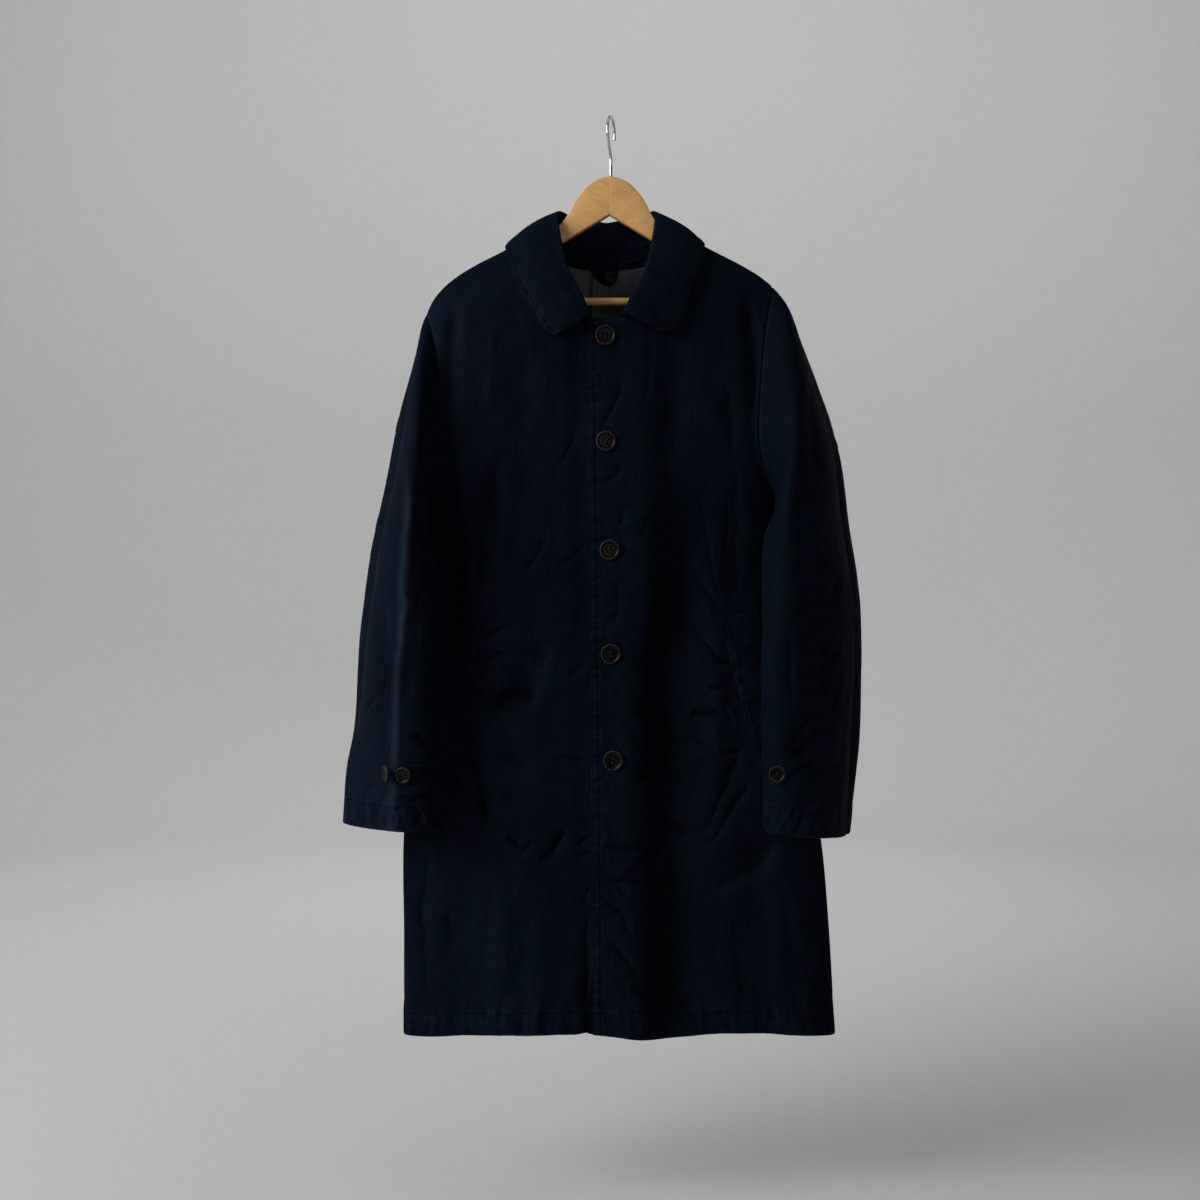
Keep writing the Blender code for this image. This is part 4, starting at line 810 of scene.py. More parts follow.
def sleeve_form(side, shares, angles):
    """Smooth points of a sleeve: ovals on the sections' outer, front, inner and back points,
    and down the sleeve a smooth curve through the armhole and the ovals at each angle."""
    rows = np.array(SLEEVES[side])
    outer, inner = rows[:, 0:3], rows[:, 3:6]
    middle = (outer + inner) / 2
    front = np.column_stack((rows[:, 6:8], middle[:, 2])) - middle
    back = np.column_stack((rows[:, 8:10], middle[:, 2])) - middle
    cosine, sine = np.cos(angles)[None, ..., None], np.sin(angles)[None, ..., None]
    power = np.where((cosine < 0) & (sine < 0), INNER_BACK_SQUARE, 1.0)
    reach = np.sign(cosine) * np.abs(cosine) ** power
    depth = np.abs(sine) ** power
    shape = (len(rows),) + (1,) * angles.ndim + (3,)
    ovals = (
        middle.reshape(shape) + ((outer - inner) / 2).reshape(shape) * reach
        + np.where(sine > 0, front.reshape(shape), back.reshape(shape)) * depth
    )
    stack = np.concatenate((armhole_ring(side, angles)[0][None], ovals))
    slopes = np.gradient(stack, np.linspace(0.0, 1.0, len(stack)), axis=0)
    along = np.clip(np.broadcast_to(shares, angles.shape), 0.0, 1.0) * (len(stack) - 1)
    piece = np.clip(np.ceil(along).astype(int) - 1, 0, len(stack) - 2)
    t = (along - piece)[..., None]
    start, end, start_slope, end_slope = (
        np.take_along_axis(values, (piece + step)[None, ..., None], axis=0)[0]
        for values in (stack, slopes) for step in (0, 1)
    )
    return cubic(t, 1.0 / (len(stack) - 1), start, end, start_slope, end_slope)


def sleeve_sheet(side, shares, angles):
    """Points of a sleeve's outer face with its relief, and the way out of it."""
    step = 0.004
    points = sleeve_form(side, shares, angles)
    down = sleeve_form(side, shares + step, angles) - sleeve_form(side, shares - step, angles)
    turned = sleeve_form(side, shares, angles + step) - sleeve_form(side, shares, angles - step)
    out = unit(np.cross(turned, down)) * (-1.0 if side == "right" else 1.0)
    seam = ease(np.broadcast_to(shares, angles.shape) / 0.03)[..., None]
    out = unit(armhole_ring(side, angles)[1] * (1.0 - seam) + out * seam)
    x, z, sine = points[..., 0], points[..., 2], np.sin(angles)
    round_x = points[..., 1] * 1.3 + x
    raised = (
        2.0 * creases(SLEEVE_CREASES[side, "front"], x, z) * ease(sine * 1.7)
        + 1.8 * creases(SLEEVE_CREASES[side, "back"], x, z) * ease(-sine * 1.7)
        + rumples(x, z, "front") * ease(sine * 2.0) + rumples(x, z, "back") * ease(-sine * 2.0)
        + washed(round_x, z, 41 if side == "right" else 47)
    )
    raised = raised * ease(np.broadcast_to(shares, angles.shape) / 0.05)
    return points + raised[..., None] * out, out


def sleeve_share_at(side, angles, heights):
    """Share of the sleeve's length at which the line at an angle comes to a height."""
    low, high = np.full(angles.shape, 0.5), np.full(angles.shape, 1.0)
    for _ in range(16):
        middle = (low + high) / 2
        above = sleeve_form(side, middle, angles)[..., 2] > heights
        low, high = np.where(above, middle, low), np.where(above, high, middle)
    return (low + high) / 2


# ---- meshes

def border(number):
    """The numbers round a grid's edge, in order."""
    return np.concatenate(
        (number[0, :-1], number[:-1, -1], number[-1, :0:-1], number[:0:-1, 0])
    )


def cells(number):
    """The four-sided faces of a grid of numbers."""
    return np.stack(
        (number[:-1, :-1], number[:-1, 1:], number[1:, 1:], number[1:, :-1]), axis=-1
    ).reshape(-1, 4)


GRID_EDGES = {
    # an edge of a grid and the line next to it
    "top": (np.s_[0], np.s_[1]),
    "low": (np.s_[-1], np.s_[-2]),
    "start": (np.s_[:, 0], np.s_[:, 1]),
    "end": (np.s_[:, -1], np.s_[:, -2]),
}


def wrapped(rows, sides):
    """Numbers of rings of points, each ring with its first number again at its end."""
    number = np.arange(rows * sides).reshape(rows, sides)
    return np.concatenate((number, number[:, :1]), axis=1)


def capped(rows, sides):
    """Faces of rings of points that are closed by two more points, one at each end."""
    number = wrapped(rows, sides)
    tip = np.full(sides, rows * sides)
    start = np.column_stack((tip, number[0, 1:], number[0, :-1]))
    end = np.column_stack((tip + 1, number[-1, :-1], number[-1, 1:]))
    return cells(number).tolist() + start.tolist() + end.tolist()


def add(name, data):
    """Puts a new object with its mesh, lamp or camera into the scene."""
    made = bpy.data.objects.new(name, data)
    bpy.context.scene.collection.objects.link(made)
    return made


def make_piece(name, points, faces, finish, flat=None, wear_and_painted_light=None, node=None):
    """One smooth piece on the root body, with its flat coordinates and its fading and painted light
    and shade, in the place of a node. A finish is a material and its slot. Where the volume comes
    out below zero, the faces are turned round."""
    points = np.asarray(points, float)
    thirds = np.array([(f[0], f[k], f[k + 1]) for f in faces for k in range(1, len(f) - 1)])
    a, b, c = np.moveaxis(points[thirds], 1, 0)
    if np.sum(a * np.cross(b, c)) < 0:
        faces = [f[::-1] for f in faces]
    mesh = bpy.data.meshes.new(name)
    mesh.from_pydata(points.tolist(), [], faces)
    mesh.shade_smooth()
    if flat is not None:
        corner = np.empty(len(mesh.loops), np.int64)
        mesh.loops.foreach_get("vertex_index", corner)
        layer = mesh.uv_layers.new(name="flat")
        layer.uv.foreach_set("vector", np.asarray(flat, np.float32)[corner].ravel())
    if wear_and_painted_light is not None:
        wear_and_painted_light = np.asarray(wear_and_painted_light, np.float32).reshape(len(points), -1)
        for kind, values in zip(("wear_and_painted_light", "drawn"), wear_and_painted_light.T):
            attribute = mesh.attributes.new(kind, "FLOAT", "POINT")
            attribute.data.foreach_set("value", np.ascontiguousarray(values))
    material, slot = finish
    mesh.materials.append(material)
    piece = add(name, mesh)
    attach(piece, "root")
    if node:
        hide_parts(node)
    return piece


def cloth_shell(name, outer, out, thick, flat, wear_and_painted_light, node, finish=None):
    """A closed sheet: the outer grid, a rounded rim, and an inner grid of every second point.
    Thick is the wall at each point, and out the way from the inner face to the outer one.
    The finish is the navy cotton unless another is given."""
    thick = np.broadcast_to(thick, outer.shape[:2])[..., None]
    push = np.zeros_like(outer)
    for edge, inner in GRID_EDGES.values():
        push[edge] += unit(outer[edge] - outer[inner])
    rim = outer - 0.5 * thick * out + 0.22 * thick * unit(push)
    inner = (outer - thick * out)[::2, ::2]
    number = np.arange(outer.shape[0] * outer.shape[1]).reshape(outer.shape[:2])
    edge = border(number)
    ring = number.size + np.arange(len(edge))
    back = number.size + len(edge) + np.arange(inner.shape[0] * inner.shape[1])
    back = back.reshape(inner.shape[:2])
    inside = border(back)
    points = np.concatenate((outer.reshape(-1, 3), rim.reshape(-1, 3)[edge], inner.reshape(-1, 3)))
    after, second = np.roll(edge, -1), np.roll(ring, -1)
    first, middle, last = ring[::2], ring[1::2], np.roll(ring[::2], -1)
    next_inside = np.roll(inside, -1)
    faces = (
        cells(number).tolist() + cells(back)[:, ::-1].tolist()
        + np.column_stack((after, edge, ring, second)).tolist()
        + np.column_stack((middle, first, inside)).tolist()
        + np.column_stack((middle, inside, next_inside)).tolist()
        + np.column_stack((last, middle, next_inside)).tolist()
    )

    def carried(values):
        values = np.asarray(values)
        values = np.broadcast_to(values, outer.shape[:2] + values.shape[2:])
        line = values.reshape(-1, *values.shape[2:])
        return np.concatenate((line, line[edge], values[::2, ::2].reshape(-1, *values.shape[2:])))

    return make_piece(name, points, faces, finish or NAVY, carried(flat), carried(wear_and_painted_light), node)


# ---- stitches

STITCH = (
    # place along, height, width
    (-0.5, -0.9, 0.0),
    (-0.28, 0.5, 0.9),
    (0.0, 0.8, 1.0),
    (0.28, 0.5, 0.9),
    (0.5, -0.9, 0.0),
)


def stitch_places(path, out, pitch):
    """Middles, ways along and ways out of stitches spaced evenly along a path."""
    run = np.concatenate(([0.0], np.cumsum(np.linalg.norm(np.diff(path, axis=0), axis=1))))
    count = max(int(run[-1] / pitch), 1)
    at = (np.arange(count) + 0.5) * run[-1] / count

    def read(values, where):
        return np.column_stack([np.interp(where, run, values[:, k]) for k in range(3)])

    along = unit(read(path, at + 0.3 * pitch) - read(path, at - 0.3 * pitch))
    return read(path, at), along, unit(read(out, at))


def sew(name, rows, pitch=0.0043, length=0.0027, radius=0.0005):
    """Stitches along rows of (path, out): each is a slim spindle, its ends in the cloth."""
    middles, alongs, outs = (
        np.concatenate(group) for group in zip(*(stitch_places(p, o, pitch) for p, o in rows))
    )
    side = np.cross(alongs, outs)
    points = []
    for place, height, width in STITCH:
        for turn in np.pi / 2 * np.arange(4 if width else 1) + np.pi / 4:
            lift = height * radius + math.sin(turn) * width * radius
            points.append(
                middles + alongs * place * length + outs * lift + side * math.cos(turn) * width * radius
            )
    points = np.stack(points, axis=1)
    faces = []
    for k in range(4):
        n = (k + 1) % 4
        faces += [(0, 1 + n, 1 + k), (13, 9 + k, 9 + n)]
        for low, high in ((1, 5), (5, 9)):
            faces += [(low + k, low + n, high + n), (low + k, high + n, high + k)]
    faces = np.array(faces)[None] + 14 * np.arange(len(middles))[:, None, None]
    return make_piece(name, points.reshape(-1, 3), faces.reshape(-1, 3).tolist(), THREAD)


def line_in(points, out, edge, inset, low=0.0, high=1.0, lift=0.00005):
    """A line over a grid at a distance in from one of its edges, between two shares of it."""
    if edge in ("top", "low"):
        points, out = np.swapaxes(points, 0, 1), np.swapaxes(out, 0, 1)
    if edge in ("end", "low"):
        points, out = points[:, ::-1], out[:, ::-1]
    a, b = int(low * (len(points) - 1)), int(high * (len(points) - 1)) + 1
    points, out = points[a:b], out[a:b]
    run = edge_distances(points)["start"]
    cell = np.clip((run < inset).sum(axis=1) - 1, 0, points.shape[1] - 2)
    row = np.arange(len(points))
    share = ((inset - run[row, cell]) / (run[row, cell + 1] - run[row, cell]))[:, None]
    path = points[row, cell] * (1 - share) + points[row, cell + 1] * share
    return path + lift * out[row, cell], out[row, cell]


# ---- finishes

class Link:
    """A node's socket that adds, subtracts and multiplies as a number does."""

    def __init__(self, finish, socket):
        self.finish, self.socket = finish, socket

    def __add__(self, other):
        return self.finish.maths("ADD", self, other)

    def __sub__(self, other):
        return self.finish.maths("SUBTRACT", self, other)

    def __rsub__(self, other):
        return self.finish.maths("SUBTRACT", other, self)

    def __mul__(self, other):
        return self.finish.maths("MULTIPLY", self, other)

    __radd__ = __add__
    __rmul__ = __mul__


class Finish:
    """A material built from nodes, and the nodes that the finishes share."""

    def __init__(self, name):
        self.material = bpy.data.materials.new(name)
        self.material.use_nodes = True
        self.tree = self.material.node_tree
        self.tree.nodes.clear()

    def node(self, kind, settings=None, sockets=None, out=0):
        """Adds a node: its settings first, then the values or links of its sockets."""
        made = self.tree.nodes.new("ShaderNode" + kind)
        for key, value in (settings or {}).items():
            setattr(made, key, value)
        for key, value in (sockets or {}).items():
            if isinstance(value, Link):
                self.tree.links.new(value.socket, made.inputs[key])
            else:
                made.inputs[key].default_value = value
        return Link(self, made.outputs[out]) if made.outputs else None

    def maths(self, operation, a, b):
        return self.node("Math", {"operation": operation}, {0: a, 1: b})

    def between(self, value, low, high, to_low=0.0, to_high=1.0):
        """A value's place between low and high, clamped and eased, on a new range."""
        return self.node(
            "MapRange", {"interpolation_type": "SMOOTHSTEP"},
            {0: value, 1: low, 2: high, 3: to_low, 4: to_high},
        )

    def mix(self, factor, first, second):
        """Mixes two colours."""
        first, second = (c if isinstance(c, Link) else (*c, 1.0) for c in (first, second))
        return self.node("Mix", {"data_type": "RGBA"}, {0: factor, 6: first, 7: second}, out=2)

    def noise(self, vector, scale, detail=2.0, roughness=0.5, distortion=0.0):
        """Noise at one scale, or at three scales along the vector's parts."""
        if isinstance(scale, tuple):
            vector = self.node("VectorMath", {"operation": "MULTIPLY"}, {0: vector, 1: scale})
            scale = 1.0
        return self.node("TexNoise", None, {
            "Vector": vector, "Scale": scale, "Detail": detail, "Roughness": roughness,
            "Distortion": distortion,
        })

    def threads(self, vector, way, scale):
        """The round threads of a weave, as soft bands along one way."""
        return self.node("TexWave", {"wave_type": "BANDS", "bands_direction": way}, {
            "Vector": vector, "Scale": scale, "Distortion": 1.5, "Detail": 1.0,
            "Detail Scale": 0.5,
        })

    def object_place(self):
        return self.node("TexCoord", out=3)

    def flat_place(self):
        return self.node("UVMap", {"uv_map": "flat"})

    def stored(self, name):
        """A number that a piece's mesh stores at its points."""
        return self.node("Attribute", {"attribute_name": name}, out=2)

    def bump(self, height, distance, strength, **over):
        return self.node("Bump", None, {
            "Height": height, "Distance": distance, "Strength": strength, **over
        })

    def surface(self, **sockets):
        """The shader itself; socket names have underscores for spaces."""
        shader = self.node("BsdfPrincipled", None, {
            key.replace("_", " "): value for key, value in sockets.items()
        })
        self.node("OutputMaterial", None, {"Surface": shader})
        return self.material


def cloth_finish():
    """Washed plain-weave cotton: warp slubs down the cloth, a fine weave, soft wash patches, ticks
    across the stitched edges that bump the cloth and paint the puckers' light and shade, fading
    that turns edges lighter, painted highlight on ridges and near-black painted shade in creases
    and hollows."""
    f = Finish("navy cotton")
    flat, place = f.flat_place(), f.object_place()
    wear_and_painted_light, drawn = f.stored("wear_and_painted_light"), f.stored("drawn")
    ticks = (
        f.maths("MAXIMUM", drawn, 0.0) * f.noise(flat, (70.0, 230.0, 1.0), 1.0, 0.4)
        - f.maths("MINIMUM", drawn, 0.0) * f.noise(flat, (150.0, 45.0, 1.0), 1.0, 0.4)
    )
    plain = f.maths("ABSOLUTE", drawn, 0.0) * 0.5
    slubs = f.noise(flat, (640.0, 26.0, 1.0), 3.0, 0.66)
    weft = f.noise(flat, (28.0, 900.0, 1.0), 2.0, 0.5)
    patches = f.noise(place, (9.0, 9.0, 4.0), 3.0, 0.55, 0.4)
    mottle = f.noise(place, (60.0, 60.0, 44.0), 4.0, 0.68)
    warp, fill = f.threads(flat, "X", 520.0), f.threads(flat, "Y", 460.0)
    # the ticks also paint the light and shade of the stitch puckers into the colour
    tone = (
        f.between(patches, 0.25, 0.75) * 0.26 + f.between(mottle, 0.3, 0.75) * 0.16
        + f.between(slubs, 0.38, 0.68) * 0.34 + (f.between(weft, 0.35, 0.65) - 0.5) * 0.16
        + (wear_and_painted_light - 0.25) * 1.5
        + (ticks - plain) * 1.4 + 0.12
    )
    colour = f.mix(f.between(tone, 0.0, 1.0), (0.0012, 0.0025, 0.0056), (0.0043, 0.008, 0.0165))
    # painted shade: near black where the values are lowest, in creases, hollows, stitch rows and beside
    # the cuff strap
    colour = f.mix(f.between(wear_and_painted_light, 0.0, 0.17), (0.0011, 0.0013, 0.0018), colour)
    # lighter where the cloth fades at edges and seams, and painted highlight on ridges and the sleeve's
    # strip
    colour = f.mix(f.between(wear_and_painted_light, 0.32, 1.0), colour, (0.015, 0.0235, 0.043))
    weave = warp * 0.5 + fill * 0.4 + slubs * 1.4 + weft * 0.5
    fine = f.bump(weave, 0.00012, 0.4)
    soft = f.bump(slubs * 0.15 + ticks * 3.0, 0.00055, 0.6, Normal=fine)
    return f.surface(
        Base_Color=colour, Roughness=f.between(mottle + wear_and_painted_light * 0.3, 0.2, 1.0, 0.72, 0.6),
        Normal=soft, Specular_IOR_Level=0.015, Sheen_Weight=0.008, Sheen_Roughness=0.42,
        Sheen_Tint=(0.16, 0.36, 0.85, 1.0),
    )


def lining_finish():
    """Plum satin lining: fine cross ribs and a low gloss."""
    f = Finish("plum lining")
    flat, place = f.flat_place(), f.object_place()
    ribs = f.noise(flat, (40.0, 1600.0, 1.0), 2.0, 0.5)
    cloud = f.noise(place, (26.0, 26.0, 14.0), 3.0, 0.6)
    shade = f.between(cloud + ribs * 0.3, 0.35, 0.95)
    return f.surface(
        Base_Color=f.mix(shade, (0.013, 0.0112, 0.015), (0.031, 0.0275, 0.035)),
        Roughness=f.between(cloud, 0.2, 0.8, 0.42, 0.56),
        Normal=f.bump(ribs, 0.00008, 0.6), Specular_IOR_Level=0.3,
        Sheen_Weight=0.1, Sheen_Roughness=0.4,
    )


def thread_finish(name, colour, gloss):
    """Twisted sewing thread."""
    f = Finish(name)
    twist = f.noise(f.object_place(), (1500.0, 1500.0, 900.0))
    shade = f.mix(f.between(twist, 0.3, 0.7), tuple(0.6 * c for c in colour), colour)
    return f.surface(
        Base_Color=shade, Roughness=gloss, Normal=f.bump(twist, 0.0001, 0.5),
        Specular_IOR_Level=0.08,
    )


def horn_finish():
    """Polished horn: clouded streaks, a painted highlight round each button's rim, and polish."""
    f = Finish("brown horn")
    place = f.object_place()
    streaks = f.noise(place, (210.0, 210.0, 520.0), 4.0, 0.6, 1.2)
    cloud = f.noise(place, 160.0, 3.0, 0.6, 0.8)
    wear_and_painted_light = f.stored("wear_and_painted_light")
    base = f.mix(f.between(streaks, 0.34, 0.66), (0.0016, 0.0012, 0.0011), (0.0056, 0.0034, 0.0026))
    # lighter clouds in the horn, and a painted highlight round the rim
    base = f.mix(f.between(cloud, 0.6, 0.8) * 0.25 + wear_and_painted_light * 0.8, base, (0.066, 0.06, 0.055))
    return f.surface(
        Base_Color=base, Roughness=f.between(cloud, 0.3, 0.7, 0.18, 0.3),
        Normal=f.bump(streaks, 0.00008, 0.4), Specular_IOR_Level=0.08,
    )


def wood_finish(name, turned):
    """Varnished beech: growth streaks along the grain, short dark flecks and a soft gloss."""
    f = Finish(name)
    place = f.node("Mapping", None, {
        "Vector": f.object_place(), "Rotation": (0.0, math.radians(turned), 0.0),
    })
    rings = f.noise(place, (10.0, 60.0, 95.0), 4.0, 0.58, 0.8)
    fibres = f.noise(place, (60.0, 900.0, 900.0), 3.0, 0.6)
    flecks = f.noise(place, (130.0, 900.0, 1500.0), 1.0, 0.5)
    colour = f.mix(f.between(rings, 0.3, 0.72), (0.69, 0.395, 0.14), (0.6, 0.325, 0.105))
    colour = f.mix(f.between(fibres, 0.45, 0.75) * 0.35, colour, (0.78, 0.49, 0.2))
    colour = f.mix(f.between(flecks, 0.62, 0.72) * 0.22, colour, (0.22, 0.105, 0.04))
    return f.surface(
        Base_Color=colour, Roughness=f.between(rings, 0.3, 0.7, 0.4, 0.5),
        Normal=f.bump(fibres + rings * 0.5, 0.00012, 0.4), Specular_IOR_Level=0.45,
        Coat_Weight=0.12, Coat_Roughness=0.3,
    )


def wire_finish():
    """Bright plated wire with faint drawing marks."""
    f = Finish("chrome wire")
    marks = f.noise(f.object_place(), (300.0, 300.0, 60.0), 3.0)
    return f.surface(
        Base_Color=f.mix(marks, (0.62, 0.62, 0.63), (0.8, 0.8, 0.81)), Metallic=1.0,
        Roughness=f.between(marks, 0.3, 0.7, 0.14, 0.26),
    )


NAVY = (cloth_finish(), "cloth")
THREAD = (thread_finish("navy thread", (0.005, 0.0085, 0.017), 0.62), "cloth")
LINING = (lining_finish(), "lining")
HORN = (horn_finish(), "horn")
BUTTON_THREAD = (thread_finish("button thread", (0.016, 0.017, 0.022), 0.6), "cloth")
WOOD = {
    "left": (wood_finish("beech, left arm", 28.0), "wood"),
    "right": (wood_finish("beech, right arm", -28.0), "wood"),
    "bar": (wood_finish("beech bar", 0.0), "wood"),
}
CHROME = (wire_finish(), "wire")

# ---- panels


def nearest(far, *edges):
    """How far each point lies from the nearest of the named edges."""
    return np.minimum.reduce([far[edge] for edge in edges])


def at_seams(points, smooth, distance, reach, least=0.0):
    """Lets the relief rise from the smooth form over a reach from the seams."""
    near = ease(distance / reach + least)[..., None]
    return smooth * (1.0 - near) + points * near


def flat_of(points):
    """Flat coordinates in metres: across is the place across plus what the cloth wraps
    backwards, and down is the height, so that the warp hangs straight."""
    step = np.diff(points, axis=1)
    turned = np.sign(step[..., 0] + 1e-12)
    wrap = (np.hypot(step[..., 0], step[..., 1]) - np.abs(step[..., 0])) * turned
    wrap = np.concatenate((np.zeros((len(points), 1)), np.cumsum(wrap, axis=1)), axis=1)
    middle = wrap[:, wrap.shape[1] // 2][:, None]
    return np.stack((points[..., 0] + wrap - middle, points[..., 2]), axis=-1)


DRAWN_IN = SEAM_GAP / 2 + 0.0001


def draw_in(points, *edges):
    """Draws the named edges of a grid in by half a seam gap, along the grid's own lines."""
    points = points.copy()
    for edge in edges:
        at, inner = GRID_EDGES[edge]
        points[at] += DRAWN_IN * unit(points[inner] - points[at])
    return points


CREASE_LIGHT_HEIGHT = 0.00055


def crease_shade_and_ridge_light(points, out, far):
    """Painted shade and highlight from the form: -1 (painted shade) in the bottom of a crease to 1
    (painted highlight) on a ridge, by how far each point stands out from the mean of its neighbours two
    cells away, faded at the edges."""
    ring = np.pad(points, ((2, 2), (2, 2), (0, 0)), mode="edge")
    rows, columns = points.shape[:2]
    mean = 0.0
    for i, j in ((0, 2), (4, 2), (2, 0), (2, 4)):
        mean = mean + 0.25 * ring[i:i + rows, j:j + columns]
    stands = np.sum((points - mean) * out, axis=-1) / CREASE_LIGHT_HEIGHT
    return np.clip(stands, -1.0, 1.0) * ease(nearest(far, *GRID_EDGES) / 0.008)


def finished(points, out, seams=(), hems=(), seed=0):
    """Dips the cloth into its seams, draws stitch grooves and puckers along its hems, and works
    out its fading at seams and edges, its painted shade in creases and along each stitch row and
    its painted highlight on ridges, and where the stitches draw it up: above zero beside upright
    edges and below zero beside level ones. A hem is (edge, places of its rows, pucker height, cell)."""
    far = edge_distances(points)
    moved, drawn = np.zeros(points.shape[:2]), np.zeros(points.shape[:2])
    wear_and_painted_light = 0.25 + 0.06 * crumple(points[..., 0], points[..., 2], 0.03, 0.06, seed)
    for edge in seams:
        moved += seam_dip(far[edge])
        wear_and_painted_light += 0.16 * bell((far[edge] - 0.0035) / 0.0025)
    for number, (edge, rows, height, cell) in enumerate(hems):
        along = far["top"] if edge in ("start", "end") else far["start"]
        slant = along + 0.12 * far[edge]
        wave = puckers(slant, seed + 5 * number, cell)
        reach = max(rows) if rows else 0.003
        here = ease(far[edge] / 0.0015) * ease((reach * 1.9 + 0.004 - far[edge]) / (reach + 0.002))
        moved += height * (wave - 0.5) * here
        if rows:
            band = ease(far[edge] / 0.001) * ease((max(rows) + 0.004 - far[edge]) / 0.004)
            drawn = np.where(band > np.abs(drawn), band if edge in ("start", "end") else -band, drawn)
        for place in rows:
            moved += stitch_groove(far[edge], place) * (0.6 + 0.8 * (1.0 - wave))
            wear_and_painted_light += (0.1 if place < 0.012 else 0.06) * bell((far[edge] - place - 0.0026) / 0.0016)
            # painted shade along each stitch row
            wear_and_painted_light -= 0.2 * bell((far[edge] - place) / 0.001)
        rim = 0.26 if height > 0.002 else 0.12
        wear_and_painted_light += rim * bell(far[edge] / 0.0018) * (0.4 + wave) + 0.1 * here * ease(wave - 0.2)
    points = points + moved[..., None] * out
    # painted shade in creases and a faint painted highlight on ridges
    wear_and_painted_light = np.clip(wear_and_painted_light + 0.16 * np.clip(crease_shade_and_ridge_light(points, out, far), -1.0, 0.3), 0.0, 1.0)
    return points, np.stack((wear_and_painted_light, drawn), axis=-1)


TURNED_IN = 0.0006


def hem_thick(points, *hems):
    """Wall that is thicker by the turned-in cloth within each hem's reach from its edge."""
    far = edge_distances(points)
    thick = np.full(points.shape[:2], WALL)
    for edge, reach in hems:
        thick = np.maximum(thick, WALL + TURNED_IN * ease((reach - far[edge]) / 0.0015))
    return thick


SEAM_REACH = 0.012
HEM_TURN = 0.024
CUFF_TURN = 0.028
HEM_STITCH = 0.0265
CUFF_STITCH = 0.03
EDGE_ROWS = (0.0018, 0.0082)
FRONT_COLUMNS = {
    "right": spread((0, 0), (0.5, 8), (2, 22), (11.8, 150), (12, 6)),
    "left": spread((0, 0), (0.5, 16), (2, 24), (11.8, 150), (12, 6)),
}
FRONT_DOWN = spread((0, 0), (0.012, 8), (0.955, 300), (1.0, 36))
BACK_COLUMNS = spread((0, 0), (0.2, 4), (17.8, 172), (18, 4))
BACK_DOWN = spread((0, 0), (0.012, 8), (0.955, 220), (1.0, 32))


GAP_TOP_Z = -1.03


def painted_hollow_shade(side, x, z):
    """Painted shade on a front: on the left one down the near slope of its long hollow, on the right
    one in the gap that opens under the lap towards the hem."""
    if side == "right":
        below = GAP_TOP_Z - z
        gap = 0.014 * np.clip(below / 0.085, 0.0, 1.0)
        return 0.34 * ease((x - lap_line(z) + gap) / 0.0015 + 0.5) * ease(below / 0.006)

    def uneven(cell, seed):
        return crumple(x, z, 0.5, cell, seed)

    off = x - slack_start(x, z) + 0.004 * uneven(0.04, 45)
    far_off = off - 0.012 * uneven(0.11, 46) - 0.006 * uneven(0.035, 47)
    weight = 0.45 + 0.55 * ease((-z - 0.26) / 0.4)
    weight = weight * (0.88 + 0.24 * crumple(x, z, 0.03, 0.07, 48))
    return 0.19 * weight * ease(off / 0.01) * (1.0 - ease((far_off - 0.024) / 0.044))


BODY_HEM = ("low", (HEM_STITCH,), 0.0026, 0.015)


def front(side):
    """A front, its edge finished and stitched, its hem turned up."""
    x, z = np.moveaxis(front_places(side, FRONT_COLUMNS[side], FRONT_DOWN), -1, 0)
    points, out = front_sheet(side, x, z)
    smooth = np.stack((x, body_y(x, z, "front"), z), axis=-1)
    points = at_seams(points, smooth, edge_distances(points)["end"], SEAM_REACH)
    points = draw_in(points, "top", "end")
    hems = [BODY_HEM]
    if side == "left":
        hems.append(("start", EDGE_ROWS, 0.0008, 0.0055))
    points, wear_and_painted_light = finished(points, out, ("top", "end"), hems, 11 if side == "left" else 13)
    # painted shade down the hollow beside the lap and in the gap under it
    wear_and_painted_light[..., 0] = np.maximum(wear_and_painted_light[..., 0] - painted_hollow_shade(side, points[..., 0], points[..., 2]), 0.0)
    thick = hem_thick(points, ("low", HEM_TURN), ("start", 0.012))
    name = f"front_{side}"
    piece = cloth_shell(f"coat_{name}", points, out, thick, flat_of(points), wear_and_painted_light, name)
    rows = [line_in(points, out, "low", HEM_STITCH, 0.005, 0.995)]
    if side == "left":
        rows += [line_in(points, out, "start", inset, 0.004, 0.998) for inset in EDGE_ROWS]
    return piece, sew(f"{name}_stitches", rows), (points, out)


def back():
    """The back, with its shoulder and side seams and its hem."""
    x, z = np.moveaxis(back_places(BACK_COLUMNS, BACK_DOWN), -1, 0)
    points, out = back_sheet(x, z)
    smooth = np.stack((x, body_y(x, z, "back"), z), axis=-1)
    points = at_seams(points, smooth, nearest(edge_distances(points), "start", "end"), SEAM_REACH)
    points = draw_in(points, "top", "start", "end")
    points, wear_and_painted_light = finished(points, out, ("top", "start", "end"), (BODY_HEM,), 17)
    thick = hem_thick(points, ("low", HEM_TURN))
    piece = cloth_shell("coat_back", points, out, thick, flat_of(points), wear_and_painted_light, "back")
    rows = [line_in(points, out, "low", HEM_STITCH, 0.005, 0.995)]
    return piece, sew("back_stitches", rows)


SEAM_ROWS = (0.0022, 0.0082)
# The painted highlight strip's top x, z, bottom x, z and half width.
HIGHLIGHT_STRIP = (-0.227, -0.29, -0.26, -0.86, 0.0065)
STRIP_HIGHLIGHT = 0.34
STRAP_START_X = -0.253


